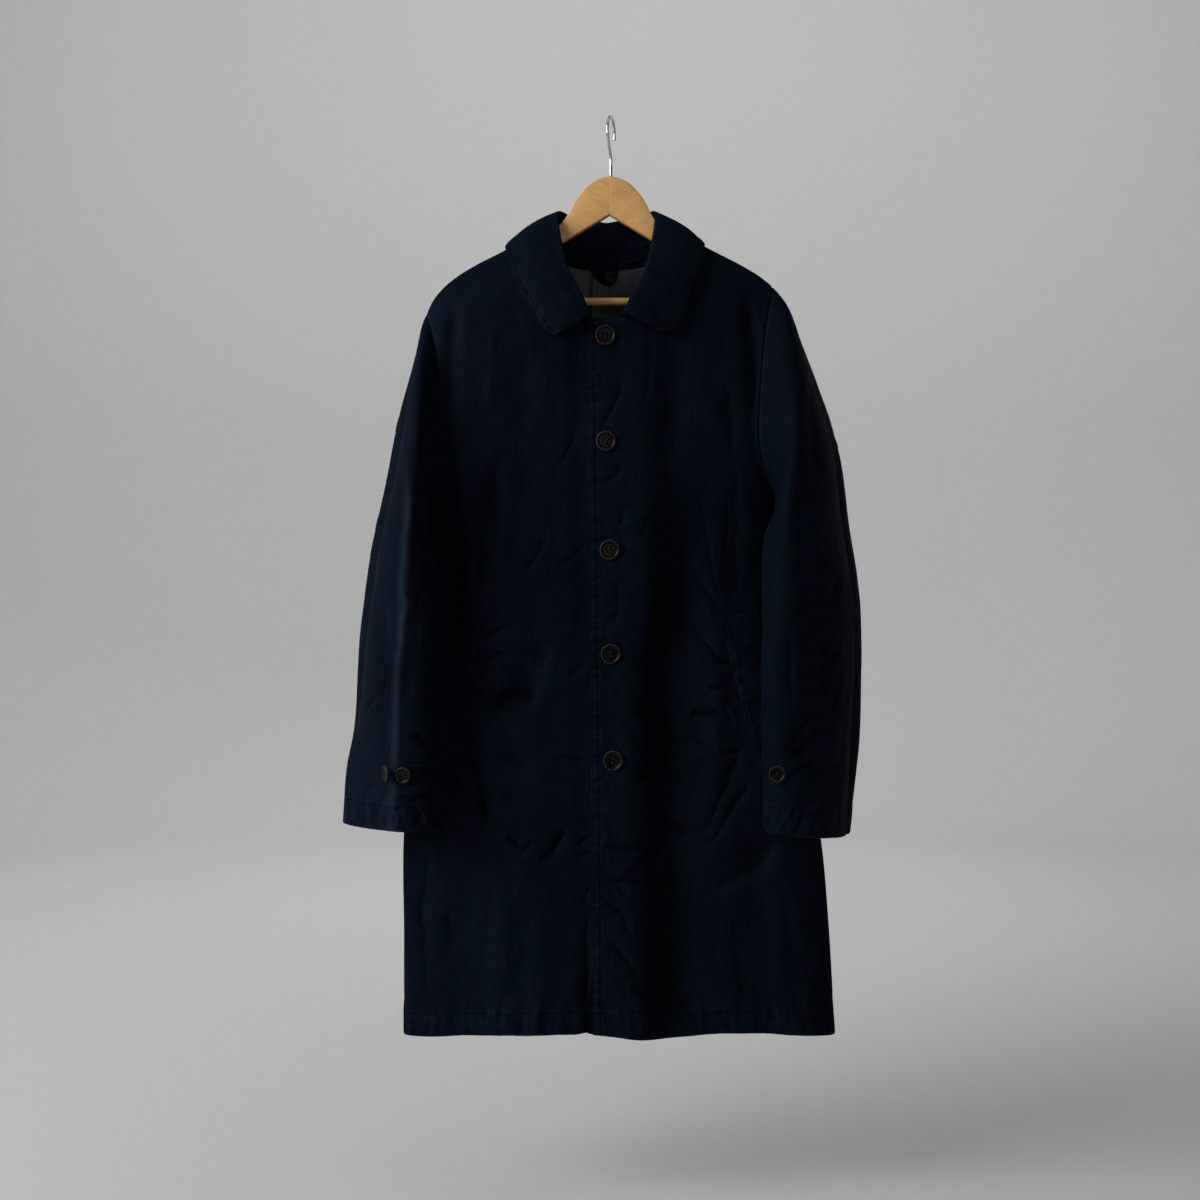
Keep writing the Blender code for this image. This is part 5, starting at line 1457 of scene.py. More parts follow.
def painted_strip_and_strap_shadow(points):
    """Painted light and shade on the right top sleeve's front: a painted highlight along a slanting
    strip down its fold, and painted shadow under the cuff strap, most beside the strap's two long
    edges."""
    x, y, z = np.moveaxis(points, -1, 0)
    ahead = y < -0.005
    near_strap = ease((x - STRAP_START_X) / 0.004) * ahead
    _, _, _, strap_top, strap_low, _ = STRAPS["right"]
    shade = 0.1 * ease((strap_low - z) / 0.003)
    for height in (strap_top + 0.0008, strap_low - 0.001):
        shade = shade + 0.16 * bell((z - height) / 0.0016)
    top_x, top_z, low_x, low_z, half = HIGHLIGHT_STRIP
    along = np.clip((z - top_z) / (low_z - top_z), 0.0, 1.0)
    off = (x - top_x - (low_x - top_x) * along) / half
    return STRIP_HIGHLIGHT * bell(off) * ease(along * 3.0) * ahead - shade * near_strap


def sleeve(side):
    """A sleeve in its top and under pieces, with the double-stitched hindarm seam."""
    shares = spread((0, 0), (0.02, 6), (0.94, 170), (1.0, 28))[:, None]
    hind = np.radians(table_curve(SLEEVE_SEAMS[side], 1, shares))
    fore = np.radians(table_curve(SLEEVE_SEAMS[side], 2, shares))
    made = []
    for part, first, last, number, seed, grain in (
        ("top", hind, fore, spread((0, 0), (0.01, 4), (0.06, 10), (0.99, 102), (1.0, 4)), 31, 90.0),
        ("under", fore, hind + 2 * np.pi, spread((0, 0), (0.01, 4), (0.99, 88), (1.0, 4)), 32, 270.0),
    ):
        angles = first + (last - first) * number[None, :]
        points, out = sleeve_sheet(side, shares, angles)
        smooth = sleeve_form(side, shares, angles)
        seams = nearest(edge_distances(smooth), "start", "end")
        points = draw_in(at_seams(points, smooth, seams, 0.01, 0.25), "top", "start", "end")
        hems = [("low", (CUFF_STITCH,), 0.0024, 0.014)]
        if part == "top":
            hems.append(("start", SEAM_ROWS, 0.0014, 0.009))
        seed += 4 if side == "left" else 0
        points, wear_and_painted_light = finished(points, out, ("top", "start", "end"), hems, seed)
        if side == "right" and part == "top":
            # painted highlight strip down the fold and painted shadow round the cuff strap
            wear_and_painted_light[..., 0] += painted_strip_and_strap_shadow(points)
        thick, flat = hem_thick(points, ("low", CUFF_TURN)), flat_of_sleeve(points, angles, grain)
        name = f"sleeve_{side}_{part}"
        piece = cloth_shell(f"coat_{name}", points, out, thick, flat, wear_and_painted_light, name)
        rows = [line_in(points, out, "low", CUFF_STITCH, 0.01, 0.99)]
        if part == "top":
            rows += [line_in(points, out, "start", inset, 0.03, 0.998) for inset in SEAM_ROWS]
        made.append((piece, sew(f"{name}_stitches", rows)))
    return made


def flat_of_sleeve(points, angles, grain_angle):
    """Flat coordinates of a sleeve piece: round it from its grain line, and down it."""
    far = edge_distances(points)
    angles = np.broadcast_to(angles, points.shape[:2])
    column = np.abs(angles - np.radians(grain_angle)).argmin(axis=1)
    start = far["start"][np.arange(len(points)), column][:, None]
    return np.stack((far["start"] - start, -far["top"]), axis=-1)

# ---- the collar


def collar_lines(half):
    """Neck seam, roll and free edge of the collar, from the right leaf's end to the left's."""
    lines = {}
    ahead = half <= SHOULDER_SHARE
    for side, column in (("right", 6), ("left", 8)):
        neck, _ = on_body(*neck_run(side, half), ahead)
        roll_x = NECK_X + SIGN[side] * table_curve(COLLAR, 3, half)
        roll = np.column_stack((roll_x, table_curve(COLLAR, 4, half), table_curve(COLLAR, 5, half)))
        edge_x = NECK_X + SIGN[side] * table_curve(COLLAR, column, half)
        edge, out = on_body(edge_x, table_curve(COLLAR, column + 1, half), ahead)
        edge = edge + (table_curve(COLLAR, 10, half) + WALL)[:, None] * out
        lines[side] = (neck, roll, edge)
    return [np.concatenate((lines["right"][k], lines["left"][k][-2::-1])) for k in range(3)]


def grid_out(points):
    """Unit vectors square to a grid, from the steps along its rows and columns."""
    return unit(np.cross(np.gradient(points, axis=1), np.gradient(points, axis=0)))


def smoothed(lines, times):
    """A line of points with each one drawn to the mean of its neighbours, ends kept."""
    lines = lines.copy()
    for _ in range(times):
        lines[1:-1] = 0.25 * lines[:-2] + 0.5 * lines[1:-1] + 0.25 * lines[2:]
    return lines


COLLAR_CREASES = (
    # as the body's creases
    (-106, -193, -60, -226, 3, 8, 2.0, 0.3),
    (-70, -205, -50, -262, -2, 9, 1.3, 0.0),
    (-118, -170, -98, -200, 2, 6, 1.0, 0.0),
    (92, -190, 66, -246, -3, 8, 1.3, 0.2),
    (106, -176, 96, -214, 2, 6, 1.0, 0.0),
    (48, -232, 60, -262, 2, 6, 0.9, 0.0),
)


COLLAR_ROWS = (0.0018, 0.007)


def collar():
    """The fall: round over the roll, then down to its edge with a soft belly; and the stand."""
    half = np.linspace(0.0, 1.0, 147)
    neck, roll, edge = collar_lines(half)
    neck, roll, edge = smoothed(neck, 6), smoothed(roll, 6), smoothed(edge, 3)
    inward = unit(np.column_stack((NECK_X - roll[:, 0], -roll[:, 1], np.zeros(len(roll)))))
    up = np.array((0.0, 0.0, 1.0))
    way = unit(edge - roll)
    outward = -np.sum(way * inward, axis=1)
    last = np.pi / 2 + np.clip(np.arctan2(-way[:, 2], np.maximum(outward, 0.05)) - 0.35, 0.05, 1.5)
    turn = np.linspace(0.0, 1.0, 9)[:, None] * last[None, :]
    centre = roll + ROLL_RADIUS * (inward - up)
    over = centre + ROLL_RADIUS * (
        np.cos(turn)[..., None] * inward + np.sin(turn)[..., None] * up
    )
    down = spread((0, 0), (0.9, 38), (1.0, 10))[1:, None, None]
    straight = over[-1] + (edge - over[-1]) * down
    out = grid_out(straight)
    out *= np.sign(np.sum(out[1] * (roll - [NECK_X, 0.0, -0.25]), axis=-1))[None, :, None]
    belly = straight + FALL_BULGE * np.sin(np.pi * down) * out
    points = np.concatenate((over, belly))
    out = grid_out(points)
    out *= np.sign(out[4, :, 2])[None, :, None]
    x, y, z = np.moveaxis(points, -1, 0)
    far = edge_distances(points)
    fade = ease((far["top"] - 0.01) / 0.014) * ease(nearest(far, "start", "end") / 0.01 + 0.3)
    raised = creases(COLLAR_CREASES, x, z) * np.where(y < 0.0, 1.0, 0.35)
    raised = raised + 0.8 * washed(x + 0.7 * y, z, 61)
    points = points + (raised * fade)[..., None] * out
    first = COLLAR_ROWS[0]
    hems = [("low", COLLAR_ROWS, 0.001, 0.01)]
    hems += [(edge_name, (first,), 0.0004, 0.009) for edge_name in ("start", "end")]
    points, wear_and_painted_light = finished(points, out, (), hems, 63)
    wear_and_painted_light[..., 0] = np.clip(wear_and_painted_light[..., 0] + 0.12 * bell((far["top"] - 0.004) / 0.003), 0.0, 1.0)
    thick = WALL + 0.0008 * ease((0.012 - nearest(far, "low", "start", "end")) / 0.002)
    thick = thick * ease(far["top"] / 0.004 + 0.75)
    across = np.broadcast_to(far["start"][20] - far["start"][20, -1] / 2, far["top"].shape)
    flat = np.stack((across, -far["top"]), axis=-1)
    fall = cloth_shell("coat_collar_fall", points, out, thick, flat, wear_and_painted_light, "collar_fall")
    rows = [line_in(points, out, "low", inset, 0.004, 0.996) for inset in COLLAR_ROWS]
    rows += [line_in(points[12:], out[12:], edge, first, 0.0, 0.97) for edge in ("start", "end")]
    stitches = sew("collar_stitches", rows)

    top = roll + STAND_INSET * inward - (ROLL_RADIUS + 0.0005) * up
    foot = neck + (SEAM_GAP + 0.0003) * unit(top - neck)
    rise = np.linspace(0.0, 1.0, 17)[:, None, None]
    toward = np.broadcast_to(inward, (17,) + inward.shape)
    base = foot[None] + (top - foot)[None] * rise
    raised = 0.5 * washed(base[..., 0] + base[..., 1], base[..., 2], 65) * np.sin(np.pi * rise[..., 0])
    face = base + WALL * toward + raised[..., None] * toward
    far = edge_distances(face)
    flat = np.stack((far["start"] - far["start"][:, -1:] / 2, far["top"]), axis=-1)
    return fall, stitches, cloth_shell(
        "coat_collar_stand", face, toward, WALL, flat, 0.28, "collar_stand"
    )


# ---- inside the neck


def inside_back(x, z, off, thick):
    """A grid of a thin piece inside the back: its visible face and the way out of that."""
    points, out = back_sheet(x, z)
    return points - (WALL + off + thick) * out, -out


FINE_STITCH = {"pitch": 0.0028, "length": 0.0022, "radius": 0.00024}
FINE_ROW = 0.002


def neck_facing():
    """The facing strip inside the back neck, stitched along its lower edge."""
    places = back_places(spread((5, 0), (13, 120)), spread((0, 0), (FACING_DROP, 14)))
    x, z = np.moveaxis(places, -1, 0)
    face, out = inside_back(x, z, SEAM_GAP + NECK_EASE, LINING_WALL)
    face = draw_in(face, "top", "low")
    face, wear_and_painted_light = finished(face, out, (), (("low", (FINE_ROW,), 0.0006, 0.008),), 71)
    name = "back_neck_facing"
    facing = cloth_shell("coat_neck_facing", face, out, LINING_WALL, flat_of(face), wear_and_painted_light, name)
    rows = [line_in(face, out, "low", FINE_ROW, 0.01, 0.99)]
    return facing, sew("facing_stitches", rows, **FINE_STITCH)


def half_lining():
    """The half lining below the facing, with its middle seam, a pleat and some slack."""
    number = spread((1, 0), (5, 26), (13, 96), (17, 26))
    down = spread((FACING_DROP, 0), (0.1, 40), (LINING_DROP, 30))
    x, z = np.moveaxis(back_places(number, down), -1, 0)
    face, out = inside_back(x, z, SEAM_GAP + NECK_EASE, LINING_WALL)
    face = draw_in(face, "top")
    below = ease(edge_distances(face)["top"] / 0.006)
    off = x - LINING_SEAM_X
    pleat = bell((off + 0.016 - 0.05 * (z + 0.18)) / 0.0045) * 0.0016
    pleat = pleat + bell((off - 0.022) / 0.006) * 0.001 - 0.0006 * bell(off / 0.0012)
    slack = np.maximum(crumple(x, z, 0.03, 0.06, 73), 0.0) * 0.0012
    face = face + ((pleat + slack) * below)[..., None] * out
    return cloth_shell(
        "coat_back_lining", face, out, LINING_WALL, flat_of(face), 0.0, "back_lining", LINING
    )


def neck_tab():
    """The rounded tab on the facing, stitched round its free edges."""
    u, v = np.meshgrid(np.linspace(-1, 1, 31), np.linspace(0, 1, 41))
    top_x, top_z, top_half, low_x, low_z, low_half = NECK_TAB
    half = top_half + (low_half - top_half) * v
    rounded = 1.0 - np.clip((v - 0.55) / 0.45, 0.0, 0.94) ** 2
    x = top_x + (low_x - top_x) * v + half * np.sqrt(rounded) * u
    face, out = inside_back(x, top_z + (low_z - top_z) * v, TAB_OFF, WALL)
    raised = 0.0004 * np.sin(np.pi * v) * (1 - u * u)
    hems = [(edge, (FINE_ROW,), 0.0002, 0.01) for edge in ("start", "end")]
    face, wear_and_painted_light = finished(face + raised[..., None] * out, out, (), hems, 75)
    tab = cloth_shell("coat_neck_tab", face, out, WALL, flat_of(face), wear_and_painted_light, "neck_tab")
    rows = [line_in(face, out, edge, FINE_ROW, 0.04, 0.97) for edge in ("start", "end", "low")]
    return tab, sew("tab_stitches", rows, **FINE_STITCH), (face, out)


def hanger_loop():
    """The loop of narrow tape, which sags between its ends and stands off the facing."""
    u, v = np.meshgrid(np.linspace(0, 1, 33), np.linspace(1.0, -1.0, 7))
    start_x, end_x, z, sag, half = HANGER_LOOP
    x = start_x + (end_x - start_x) * u
    face, out = inside_back(x, z - sag * np.sin(np.pi * u) + half * v, TAB_OFF, LINING_WALL)
    face = face + (0.5 * sag * np.sin(np.pi * u) + 0.0005 * (1 - v * v))[..., None] * out
    return cloth_shell("coat_hanger_loop", face, out, LINING_WALL, flat_of(face), 0.35, "hanger_loop")


# ---- welts and straps


WELT_ROWS = (0.0022, 0.008)


def welt(side):
    """A slanting welt laid on its front, double-stitched down its front edge."""
    top_x, top_z, low_x, low_z, width, rise = POCKETS[side]
    u, v = np.meshgrid(spread((0, 0), (0.3, 16), (1, 20)), np.linspace(0, 1, 121))
    x = top_x + (low_x - top_x) * v + width * u * (1.0 - 0.35 * v)
    points, out = front_sheet(side, x, top_z + (low_z - top_z) * v + rise * u)
    points = points + (WELT_OFF + WELT_WALL) * out
    hems = [("start", WELT_ROWS, 0.0009, 0.01)]
    hems += [(edge, WELT_ROWS[:1], 0.0003, 0.008) for edge in ("top", "low")]
    points, wear_and_painted_light = finished(points, out, (), hems, 81 if side == "right" else 87)
    piece = cloth_shell(f"coat_welt_{side}", points, out, WELT_WALL + 0.0002, flat_of(points),
                        wear_and_painted_light, f"pocket_welt_{side}")
    rows = [line_in(points, out, "start", inset, 0.01, 0.99) for inset in WELT_ROWS]
    rows += [line_in(points, out, edge, WELT_ROWS[0], 0.02, 0.98) for edge in ("top", "low")]
    return piece, sew(f"welt_{side}_stitches", rows)


STRAP_ROWS = (0.002, 0.0072)
STRAP_SHADE = 0.09


def strap(side):
    """A cuff strap round the sleeve that ends in a point, double-stitched round its edge."""
    base, shoulder, tip, top_z, low_z, tip_z = STRAPS[side]
    turns = np.radians(spread((base, 0), (shoulder, 74), (tip, 14)))
    share = np.clip((turns - np.radians(shoulder)) / np.radians(tip - shoulder), 0.0, 1.0)
    v = np.linspace(0.0, 1.0, 25)[:, None]
    high = top_z + (tip_z + 0.002 - top_z) * share
    low = low_z + (tip_z - 0.002 - low_z) * share
    heights = high + (low - high) * v
    angles = np.broadcast_to(turns, heights.shape)
    points, out = sleeve_sheet(side, sleeve_share_at(side, angles, heights), angles)
    points = points + (STRAP_OFF + STRAP_WALL) * out
    hems = [(edge, STRAP_ROWS, 0.0004, 0.009) for edge in ("top", "low")]
    points, wear_and_painted_light = finished(points, out, (), hems, 91 if side == "right" else 97)
    wear_and_painted_light[..., 0] = np.maximum(wear_and_painted_light[..., 0] - STRAP_SHADE, 0.0)
    far = edge_distances(points)
    flat = np.stack((far["start"], -far["top"]), axis=-1)
    name = f"cuff_strap_{side}"
    piece = cloth_shell(f"coat_{name}", points, out, STRAP_WALL, flat, wear_and_painted_light, name)
    rows = [
        line_in(points, out, edge, inset, 0.0, 0.985 - 4.0 * inset)
        for inset in STRAP_ROWS for edge in ("top", "low")
    ]
    stitches = sew(f"{name}_stitches", rows, pitch=0.0038, length=0.0024, radius=0.00045)
    return piece, stitches, (points, out)


# ---- buttons and buttonholes


def joined(*shapes):
    """One shape of several (points, faces)."""
    points, faces, first = [], [], 0
    for shape_points, shape_faces in shapes:
        points.append(np.asarray(shape_points))
        faces += [[n + first for n in face] for face in shape_faces]
        first += len(shape_points)
    return np.concatenate(points), faces


BUTTON_PROFILE = (
    # radius, height above the back, painted highlight, all as shares
    (0.25, 0.02, 0.0), (0.6, 0.0, 0.0), (0.8, 0.04, 0.0), (0.93, 0.2, 0.0), (0.99, 0.42, 0.1),
    (1.0, 0.6, 0.1), (0.985, 0.78, 0.4), (0.955, 0.93, 1.0), (0.91, 1.0, 0.3), (0.865, 0.98, 0.0),
    (0.82, 0.88, 0.1), (0.77, 0.74, 0.0), (0.71, 0.64, 0.0), (0.64, 0.59, 0.0), (0.57, 0.57, 0.0),
    (0.5, 0.56, 0.0), (0.44, 0.56, 0.0), (0.39, 0.56, 0.0), (0.345, 0.56, 0.0), (0.3, 0.56, 0.0),
    (0.255, 0.56, 0.0), (0.21, 0.56, 0.0), (0.165, 0.56, 0.0), (0.12, 0.56, 0.0), (0.07, 0.56, 0.0),
)
HOLE_REACH = 0.255
HOLE_RADIUS = 0.095


BUTTON_THICK = 0.28
BUTTON_SIDES = 48


def button_shape(radius, back, axis, turned):
    """A turned button with a raised rim, a dished middle and four holes. The rings follow
    the profile; inside the dish each point sinks near a hole."""
    thick = radius * BUTTON_THICK
    across = unit(np.cross((0.0, 0.0, 1.0), axis))
    turn = 2 * np.pi * np.arange(BUTTON_SIDES) / BUTTON_SIDES
    ring = np.cos(turn)[:, None] * across + np.sin(turn)[:, None] * np.cross(axis, across)
    rings = []
    for reach, height, _ in BUTTON_PROFILE:
        sink = np.zeros(BUTTON_SIDES)
        for k in range(4 if reach < 0.5 else 0):
            hole = turned + np.pi / 4 + k * np.pi / 2
            gap = np.hypot(reach * np.cos(turn) - HOLE_REACH * np.cos(hole),
                           reach * np.sin(turn) - HOLE_REACH * np.sin(hole))
            sink = np.maximum(sink, 0.55 * ease((HOLE_RADIUS * 1.5 - gap) / (HOLE_RADIUS * 0.9)))
        height = ((height - sink) * thick)[:, None]
        rings.append(back + reach * radius * ring + height * axis)
    rings.append([back + 0.02 * thick * axis, back + 0.56 * thick * axis])
    # the rim's painted highlight, ring by ring
    wear_and_painted_light = np.repeat([rim_highlight for _, _, rim_highlight in BUTTON_PROFILE], BUTTON_SIDES)
    faces = capped(len(BUTTON_PROFILE), BUTTON_SIDES)
    return (np.concatenate(rings), faces), np.concatenate((wear_and_painted_light, (0.0, 0.0)))


def rod(start, end, radius, sides=8, bow=0.0, way=0.0):
    """A short round rod between two points, bowed out along a way."""
    share = np.linspace(0.0, 1.0, 7)[:, None]
    path = start + (end - start) * share + bow * np.sin(np.pi * share) * way
    return tube_shape(path, radius, sides)


def button(name, radius, foot, back, axis, turned):
    """A button and its thread: four crossings on its face and the shank behind it."""
    axis = unit(np.asarray(axis, float))
    shape, wear_and_painted_light = button_shape(radius, back, axis, turned)
    made = make_piece(f"coat_{name}", *shape, HORN, wear_and_painted_light=wear_and_painted_light, node=name)
    across = unit(np.cross((0.0, 0.0, 1.0), axis))
    other = np.cross(axis, across)
    thick = radius * BUTTON_THICK
    holes = []
    for k in range(4):
        hole = turned + np.pi / 4 + k * np.pi / 2
        way = math.cos(hole) * across + math.sin(hole) * other
        holes.append(back + radius * HOLE_REACH * way + 0.42 * thick * axis)
    rods = []
    for a, b in ((0, 1), (3, 2)):
        for off in (-1.0, 0.0, 1.0):
            shift = off * 0.045 * radius * unit(holes[3] - holes[0])
            rods.append(rod(holes[a] + shift, holes[b] + shift, 0.036 * radius, 6, 0.2 * thick, axis))
    shank = back + 0.2 * thick * axis
    for off in (-1.0, 0.0, 1.0):
        shift = off * 0.1 * radius * across
        rods.append(rod(foot - 0.0006 * axis + 0.6 * shift, shank + shift, 0.11 * radius))
    return made, make_piece(f"{name}_thread", *joined(*rods), BUTTON_THREAD)


def tube_shape(path, radius, sides, closed=False):
    """Points and faces of a round bar along a path: rings square to it, closed by a point at
    each end, or on itself where the path is closed."""
    path = np.asarray(path, float)
    if closed:
        ahead = unit(np.roll(path, -1, axis=0) - np.roll(path, 1, axis=0))
    else:
        ahead = unit(np.gradient(path, axis=0))
    lead = np.array((0.13, -0.97, 0.21))
    lead = np.array((0.97, 0.13, 0.21)) if abs(ahead[0] @ unit(lead)) > 0.8 else lead
    across = unit(lead - ahead * (ahead @ lead)[:, None])
    other = np.cross(ahead, across)
    turn = 2 * np.pi * np.arange(sides) / sides
    radius = np.broadcast_to(radius, len(path))[:, None, None]
    ring = np.cos(turn)[None, :, None] * across[:, None] + np.sin(turn)[None, :, None] * other[:, None]
    points = (path[:, None] + radius * ring).reshape(-1, 3)
    if closed:
        number = wrapped(len(path), sides)
        return points, cells(np.concatenate((number, number[:1]))).tolist()
    tips = np.array((
        path[0] - ahead[0] * radius[0, 0, 0] * 0.4, path[-1] + ahead[-1] * radius[-1, 0, 0] * 0.4
    ))
    return np.concatenate((points, tips)), capped(len(path), sides)


def on_sheet(sheet, x, z):
    """The point of a sheet's grid nearest to a place across and height, and its way out."""
    points, out = sheet
    near = np.hypot(points[..., 0] - x, points[..., 2] - z) + 10.0 * (points[..., 1] > 0.02)
    row, column = np.unravel_index(near.argmin(), near.shape)
    return points[row, column], out[row, column]


# ---- the hanger


def buttonhole(sheet, x, z, length):
    """A worked buttonhole: a rim of close thread round a level slit, as a flattened loop."""
    middle, out = on_sheet(sheet, x, z)
    way = unit(np.cross(out, (0.0, 0.0, 1.0)))
    t = np.linspace(0.0, 2 * np.pi, 41)[:-1]
    reach = np.sign(np.cos(t)) * np.abs(np.cos(t)) ** 0.55 * length / 2
    width = np.sin(t) * 0.00095
    path = middle + reach[:, None] * way + width[:, None] * np.cross(way, out) + 0.00025 * out
    radius = 0.00055 * (1.0 + 0.12 * np.sin(22 * t))
    return tube_shape(path, radius, 8, closed=True)


def flat_button(name, radius, sheet, x, z, turned):
    """A button that lies flat on a sheet, on its shank."""
    at, out = on_sheet(sheet, x, z)
    button(name, radius, at, at + out * (SEAM_GAP + BUTTON_SHANK), out, turned)


def cuff_button(side, number, turned):
    """A button sewn straight on the sleeve, which leans over on its thread."""
    x, z, lean, stand = CUFF_BUTTONS[f"{side}_{number}"]
    lean = math.radians(lean)
    angles = np.linspace(np.radians(30.0), np.radians(170.0), 57)[None, :] + np.zeros((31, 1))
    shares = np.linspace(0.8, 0.99, 31)[:, None] + np.zeros((1, 57))
    at, _ = on_sheet(sleeve_sheet(side, shares, angles), x, z)
    axis = np.array((-math.sin(lean), -math.cos(lean), 0.0))
    back_at = at + np.array((-0.35 * stand * math.sin(lean), -stand - SEAM_GAP, 0.0))
    button(f"cuff_button_{side}_{number}", CUFF_BUTTON_RADIUS, at, back_at, axis, turned)


def arm(side):
    """Half of the flat hanger: upright sections with rounded corners, along its reach, that
    draw in to a round at the tip and to a narrow line at the middle joint."""
    sign = SIGN[side]
    reach = spread((0.00015, 0), (0.00025, 1), (0.0012, 2), (0.19, 84), (HANGER[-1][0], 10))
    top, low = table_curve(HANGER, 1, reach), table_curve(HANGER, 2, reach)
    sides = 32
    turn = 2 * np.pi * (np.arange(sides) + 0.5) / sides
    half_y = ARM_HALF * (1.0 - 0.02 * bell(reach / 0.0006))
    half_z = (top - low) / 2
    corner = np.minimum(ARM_ROUND, 0.95 * np.minimum(half_y, half_z))
    y = np.sign(np.cos(turn)) * (half_y - corner)[:, None] + corner[:, None] * np.cos(turn)
    z = np.sign(np.sin(turn)) * (half_z - corner)[:, None] + corner[:, None] * np.sin(turn)
    z = z + ((top + low) / 2)[:, None]
    x = np.broadcast_to(HANGER_X + sign * reach[:, None], y.shape)
    rings = list(np.stack((x, y, z), axis=-1))
    end = rings[-1]
    middle = end.mean(axis=0)
    for push, size in ((0.0012, 0.9), (0.002, 0.7), (0.0025, 0.4)):
        rings.append(middle + (end - middle) * size + np.array((sign * push, 0, 0)))
    tips = [rings[0].mean(axis=0), middle + np.array((sign * 0.0026, 0, 0))]
    make_piece(f"hanger_wood_{side}", np.concatenate(rings + [tips]), capped(len(rings), sides),
               WOOD[side], node=f"hanger_arm_{side}")


def hanger():
    """Both arms, the trouser bar and the wire hook."""
    for side in SIGN:
        arm(side)
    share = spread((-1.0, 0), (-0.998, 2), (0.998, 60), (1.0, 2))
    bar_x = HANGER_X + BAR_HALF * share
    path = np.column_stack((bar_x, np.zeros_like(share), np.full_like(share, BAR_Z)))
    radius = BAR_RADIUS * (1.0 - 0.12 * bell((np.abs(share) - 1.0) / 0.004))
    make_piece("hanger_bar_wood", *tube_shape(path, radius, 28), WOOD["bar"], node="hanger_bar")
    turns = np.radians(np.linspace(HOOK_TIP, HOOK_BEND, 21))
    centre_z = WIRE - HOOK_RADIUS
    bend = [(HOOK_RADIUS * math.cos(t), centre_z + HOOK_RADIUS * math.sin(t)) for t in turns]
    bend += [(-0.006, -0.042), (-0.001, -0.048), (0.0, -0.054), (0.0, HANGER[0][1] + 0.0004)]
    line = np.array([(d * math.sin(HOOK_TURN), d * math.cos(HOOK_TURN), z) for d, z in bend])
    run = np.concatenate(([0.0], np.cumsum(np.linalg.norm(np.diff(line, axis=0), axis=1))))
    at = np.linspace(0.0, run[-1], 150)
    radius = WIRE * (1.0 - 0.35 * bell(at / 0.0009))
    shape = tube_shape(hermite(run, line, at), radius, 20)
    make_piece("hanger_hook_wire", *shape, CHROME, node="hanger_hook")


# ---- the coat put together

fronts = {side: front(side) for side in SIGN}
back_piece, back_stitches = back()
sleeves = {side: sleeve(side) for side in SIGN}
collar_fall, collar_stitches, collar_stand = collar()
facing, facing_stitches = neck_facing()
lining = half_lining()
tab, tab_stitches, tab_face = neck_tab()
loop = hanger_loop()
welts = {side: welt(side) for side in SIGN}
straps = {side: strap(side) for side in SIGN}
hanger()

TURNS = (0.1, -0.35, 0.3, 0.05, -0.2)
slits = []
sheet = fronts["left"][2]
for number, ((x, z), turned) in enumerate(zip(FRONT_BUTTONS, TURNS), 1):
    flat_button(f"front_button_{number}", BUTTON_RADIUS, sheet, x, z, turned)
    slits.append(buttonhole(sheet, x + 0.0058, z - 0.0004, 0.021))
sheet = straps["right"][2]
flat_button("cuff_button_right_1", CUFF_BUTTON_RADIUS, sheet, *STRAP_BUTTON, 0.4)
slits.append(buttonhole(sheet, STRAP_BUTTON[0] + 0.0052, STRAP_BUTTON[1], 0.017))
make_piece("buttonholes", *joined(*slits), THREAD)
cuff_button("right", 2, 0.2)
cuff_button("left", 1, -0.15)
flat_button("neck_tab_button", TAB_BUTTON_RADIUS, tab_face, *TAB_BUTTON, 0.3)

# A box of stitches beside the left cuff's hindarm seam.
seam_angle = np.radians(float(table_curve(SLEEVE_SEAMS["left"], 1, 0.93)))
corners = np.array(((0.025, 0.905), (0.205, 0.905), (0.205, 0.945), (0.025, 0.945), (0.025, 0.905)))
box_run = np.concatenate([np.linspace(a, b, 12)[:-1] for a, b in zip(corners[:-1], corners[1:])])
box_points, box_out = sleeve_sheet("left", box_run[:, 1], seam_angle + box_run[:, 0])
sew("cuff_left_box_stitches", [(box_points + 0.0001 * box_out, box_out)])

# ---- each side's pieces are unpacked here, and nothing more is done with them

for side in SIGN:
    piece, stitches, _ = fronts[side]
    for (piece, stitches), name in zip(sleeves[side], ("top", "under")):
        name == "under"
    piece, stitches = welts[side]
    piece, stitches, _ = straps[side]

# ---- floor, light and camera

FLOOR_Z = -1.32
SKY = (0.86, 0.93, 1.0, 1.0)
SKY_STRENGTH = 0.08
CAMERA_PLACE = (-0.0135, -2.2, -0.591)
LENS = 53.751
LAMPS = (
    # name, place, target, size, power
    ("key", (-2.75, -1.5, 0.8), (0.0, 0.0, -0.6), 2.3, 118.0),
    ("fill", (0.55, -2.9, -0.3), (0.0, 0.0, -0.5), 1.2, 7.5),
    ("top", (0.2, -0.4, 2.2), (0.0, 0.0, -0.5), 2.0, 9.0),
    ("back", (-0.4, 3.4, 1.2), (0.0, 0.0, -0.6), 1.6, 16.0),
    ("wall", (0.0, 1.9, 2.2), (0.0, 4.8, -0.3), 2.4, 66.0),
)


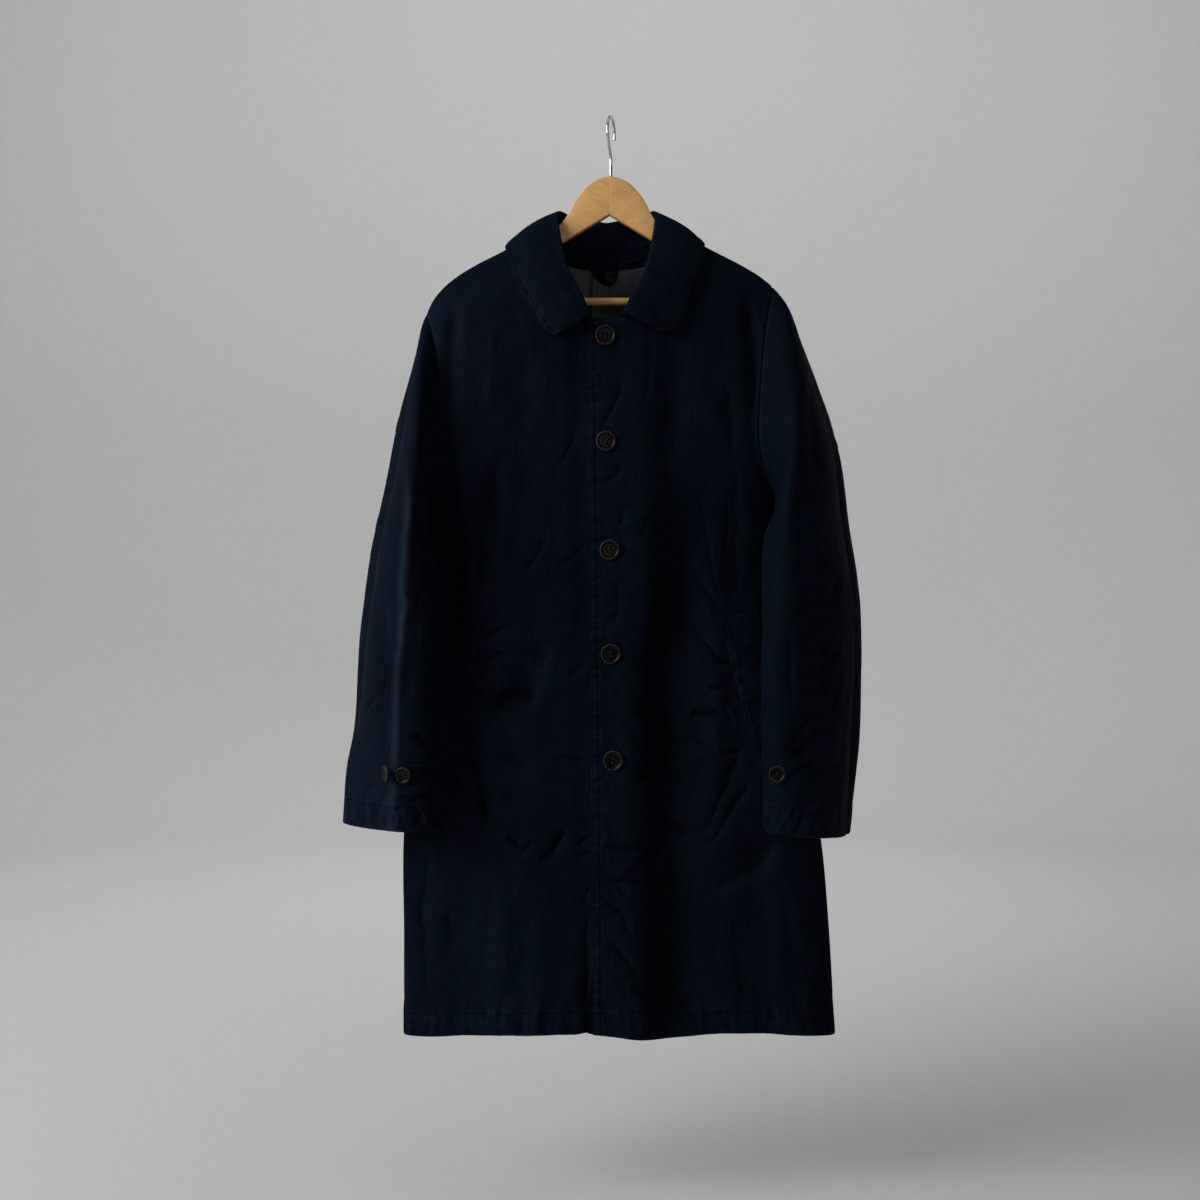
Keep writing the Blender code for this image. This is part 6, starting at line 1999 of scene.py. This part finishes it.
def studio():
    """A pale bowl: a flat floor that turns up into a round wall, which is grey behind the
    camera, so that the coat's far sides fall into shade."""
    turn = np.linspace(0.0, np.pi / 2, 15)
    reach = np.concatenate(([0.0, 0.8, 1.8, 2.8], 3.4 + 1.4 * np.sin(turn), [4.8, 4.8]))
    height = np.concatenate(([0.0] * 4, 1.4 * (1.0 - np.cos(turn)), [3.0, 4.8])) + FLOOR_Z
    sides = 72
    around = 2 * np.pi * np.arange(sides) / sides
    points = np.stack((
        reach[:, None] * np.cos(around), reach[:, None] * np.sin(around),
        np.broadcast_to(height[:, None], (len(reach), sides)),
    ), axis=-1)
    mesh = bpy.data.meshes.new("studio")
    faces = cells(wrapped(len(reach), sides))[:, ::-1]
    mesh.from_pydata(points.reshape(-1, 3).tolist(), [], faces.tolist())
    mesh.shade_smooth()
    f = Finish("pale paper")
    grain = f.noise(f.object_place(), 40.0, 3.0)
    deep = f.node("SeparateXYZ", None, {"Vector": f.object_place()}, out=1)
    paper = f.mix(grain, (0.53, 0.53, 0.525), (0.56, 0.56, 0.555))
    mesh.materials.append(f.surface(
        Base_Color=f.mix(f.between(deep, -3.2, -1.0), (0.13, 0.13, 0.13), paper), Roughness=0.9,
        Specular_IOR_Level=0.1,
    ))
    add("studio", mesh)


def lamp(name, place, target, size, power):
    """A square soft light that faces its target."""
    light = bpy.data.lights.new(name, "AREA")
    light.shape, light.size, light.energy = "SQUARE", size, power
    made = add(name, light)
    made.location = place
    made.rotation_euler = (Vector(target) - Vector(place)).to_track_quat("-Z", "Y").to_euler()


studio()
for name, place, target, size, power in LAMPS:
    lamp(name, place, target, size, power)

world = bpy.data.worlds.new("soft room")
world.use_nodes = True
sky = world.node_tree.nodes["Background"].inputs
sky["Color"].default_value, sky["Strength"].default_value = SKY, SKY_STRENGTH
bpy.context.scene.world = world
bpy.context.scene.view_settings.view_transform = "Standard"

camera_data = bpy.data.cameras.new("camera")
camera_data.lens_unit = "MILLIMETERS"
camera_data.sensor_width = 36.0
camera_data.lens = LENS
camera = add("camera", camera_data)
camera.location = CAMERA_PLACE
camera.rotation_euler = (math.pi / 2, 0.0, 0.0)
bpy.context.scene.camera = camera
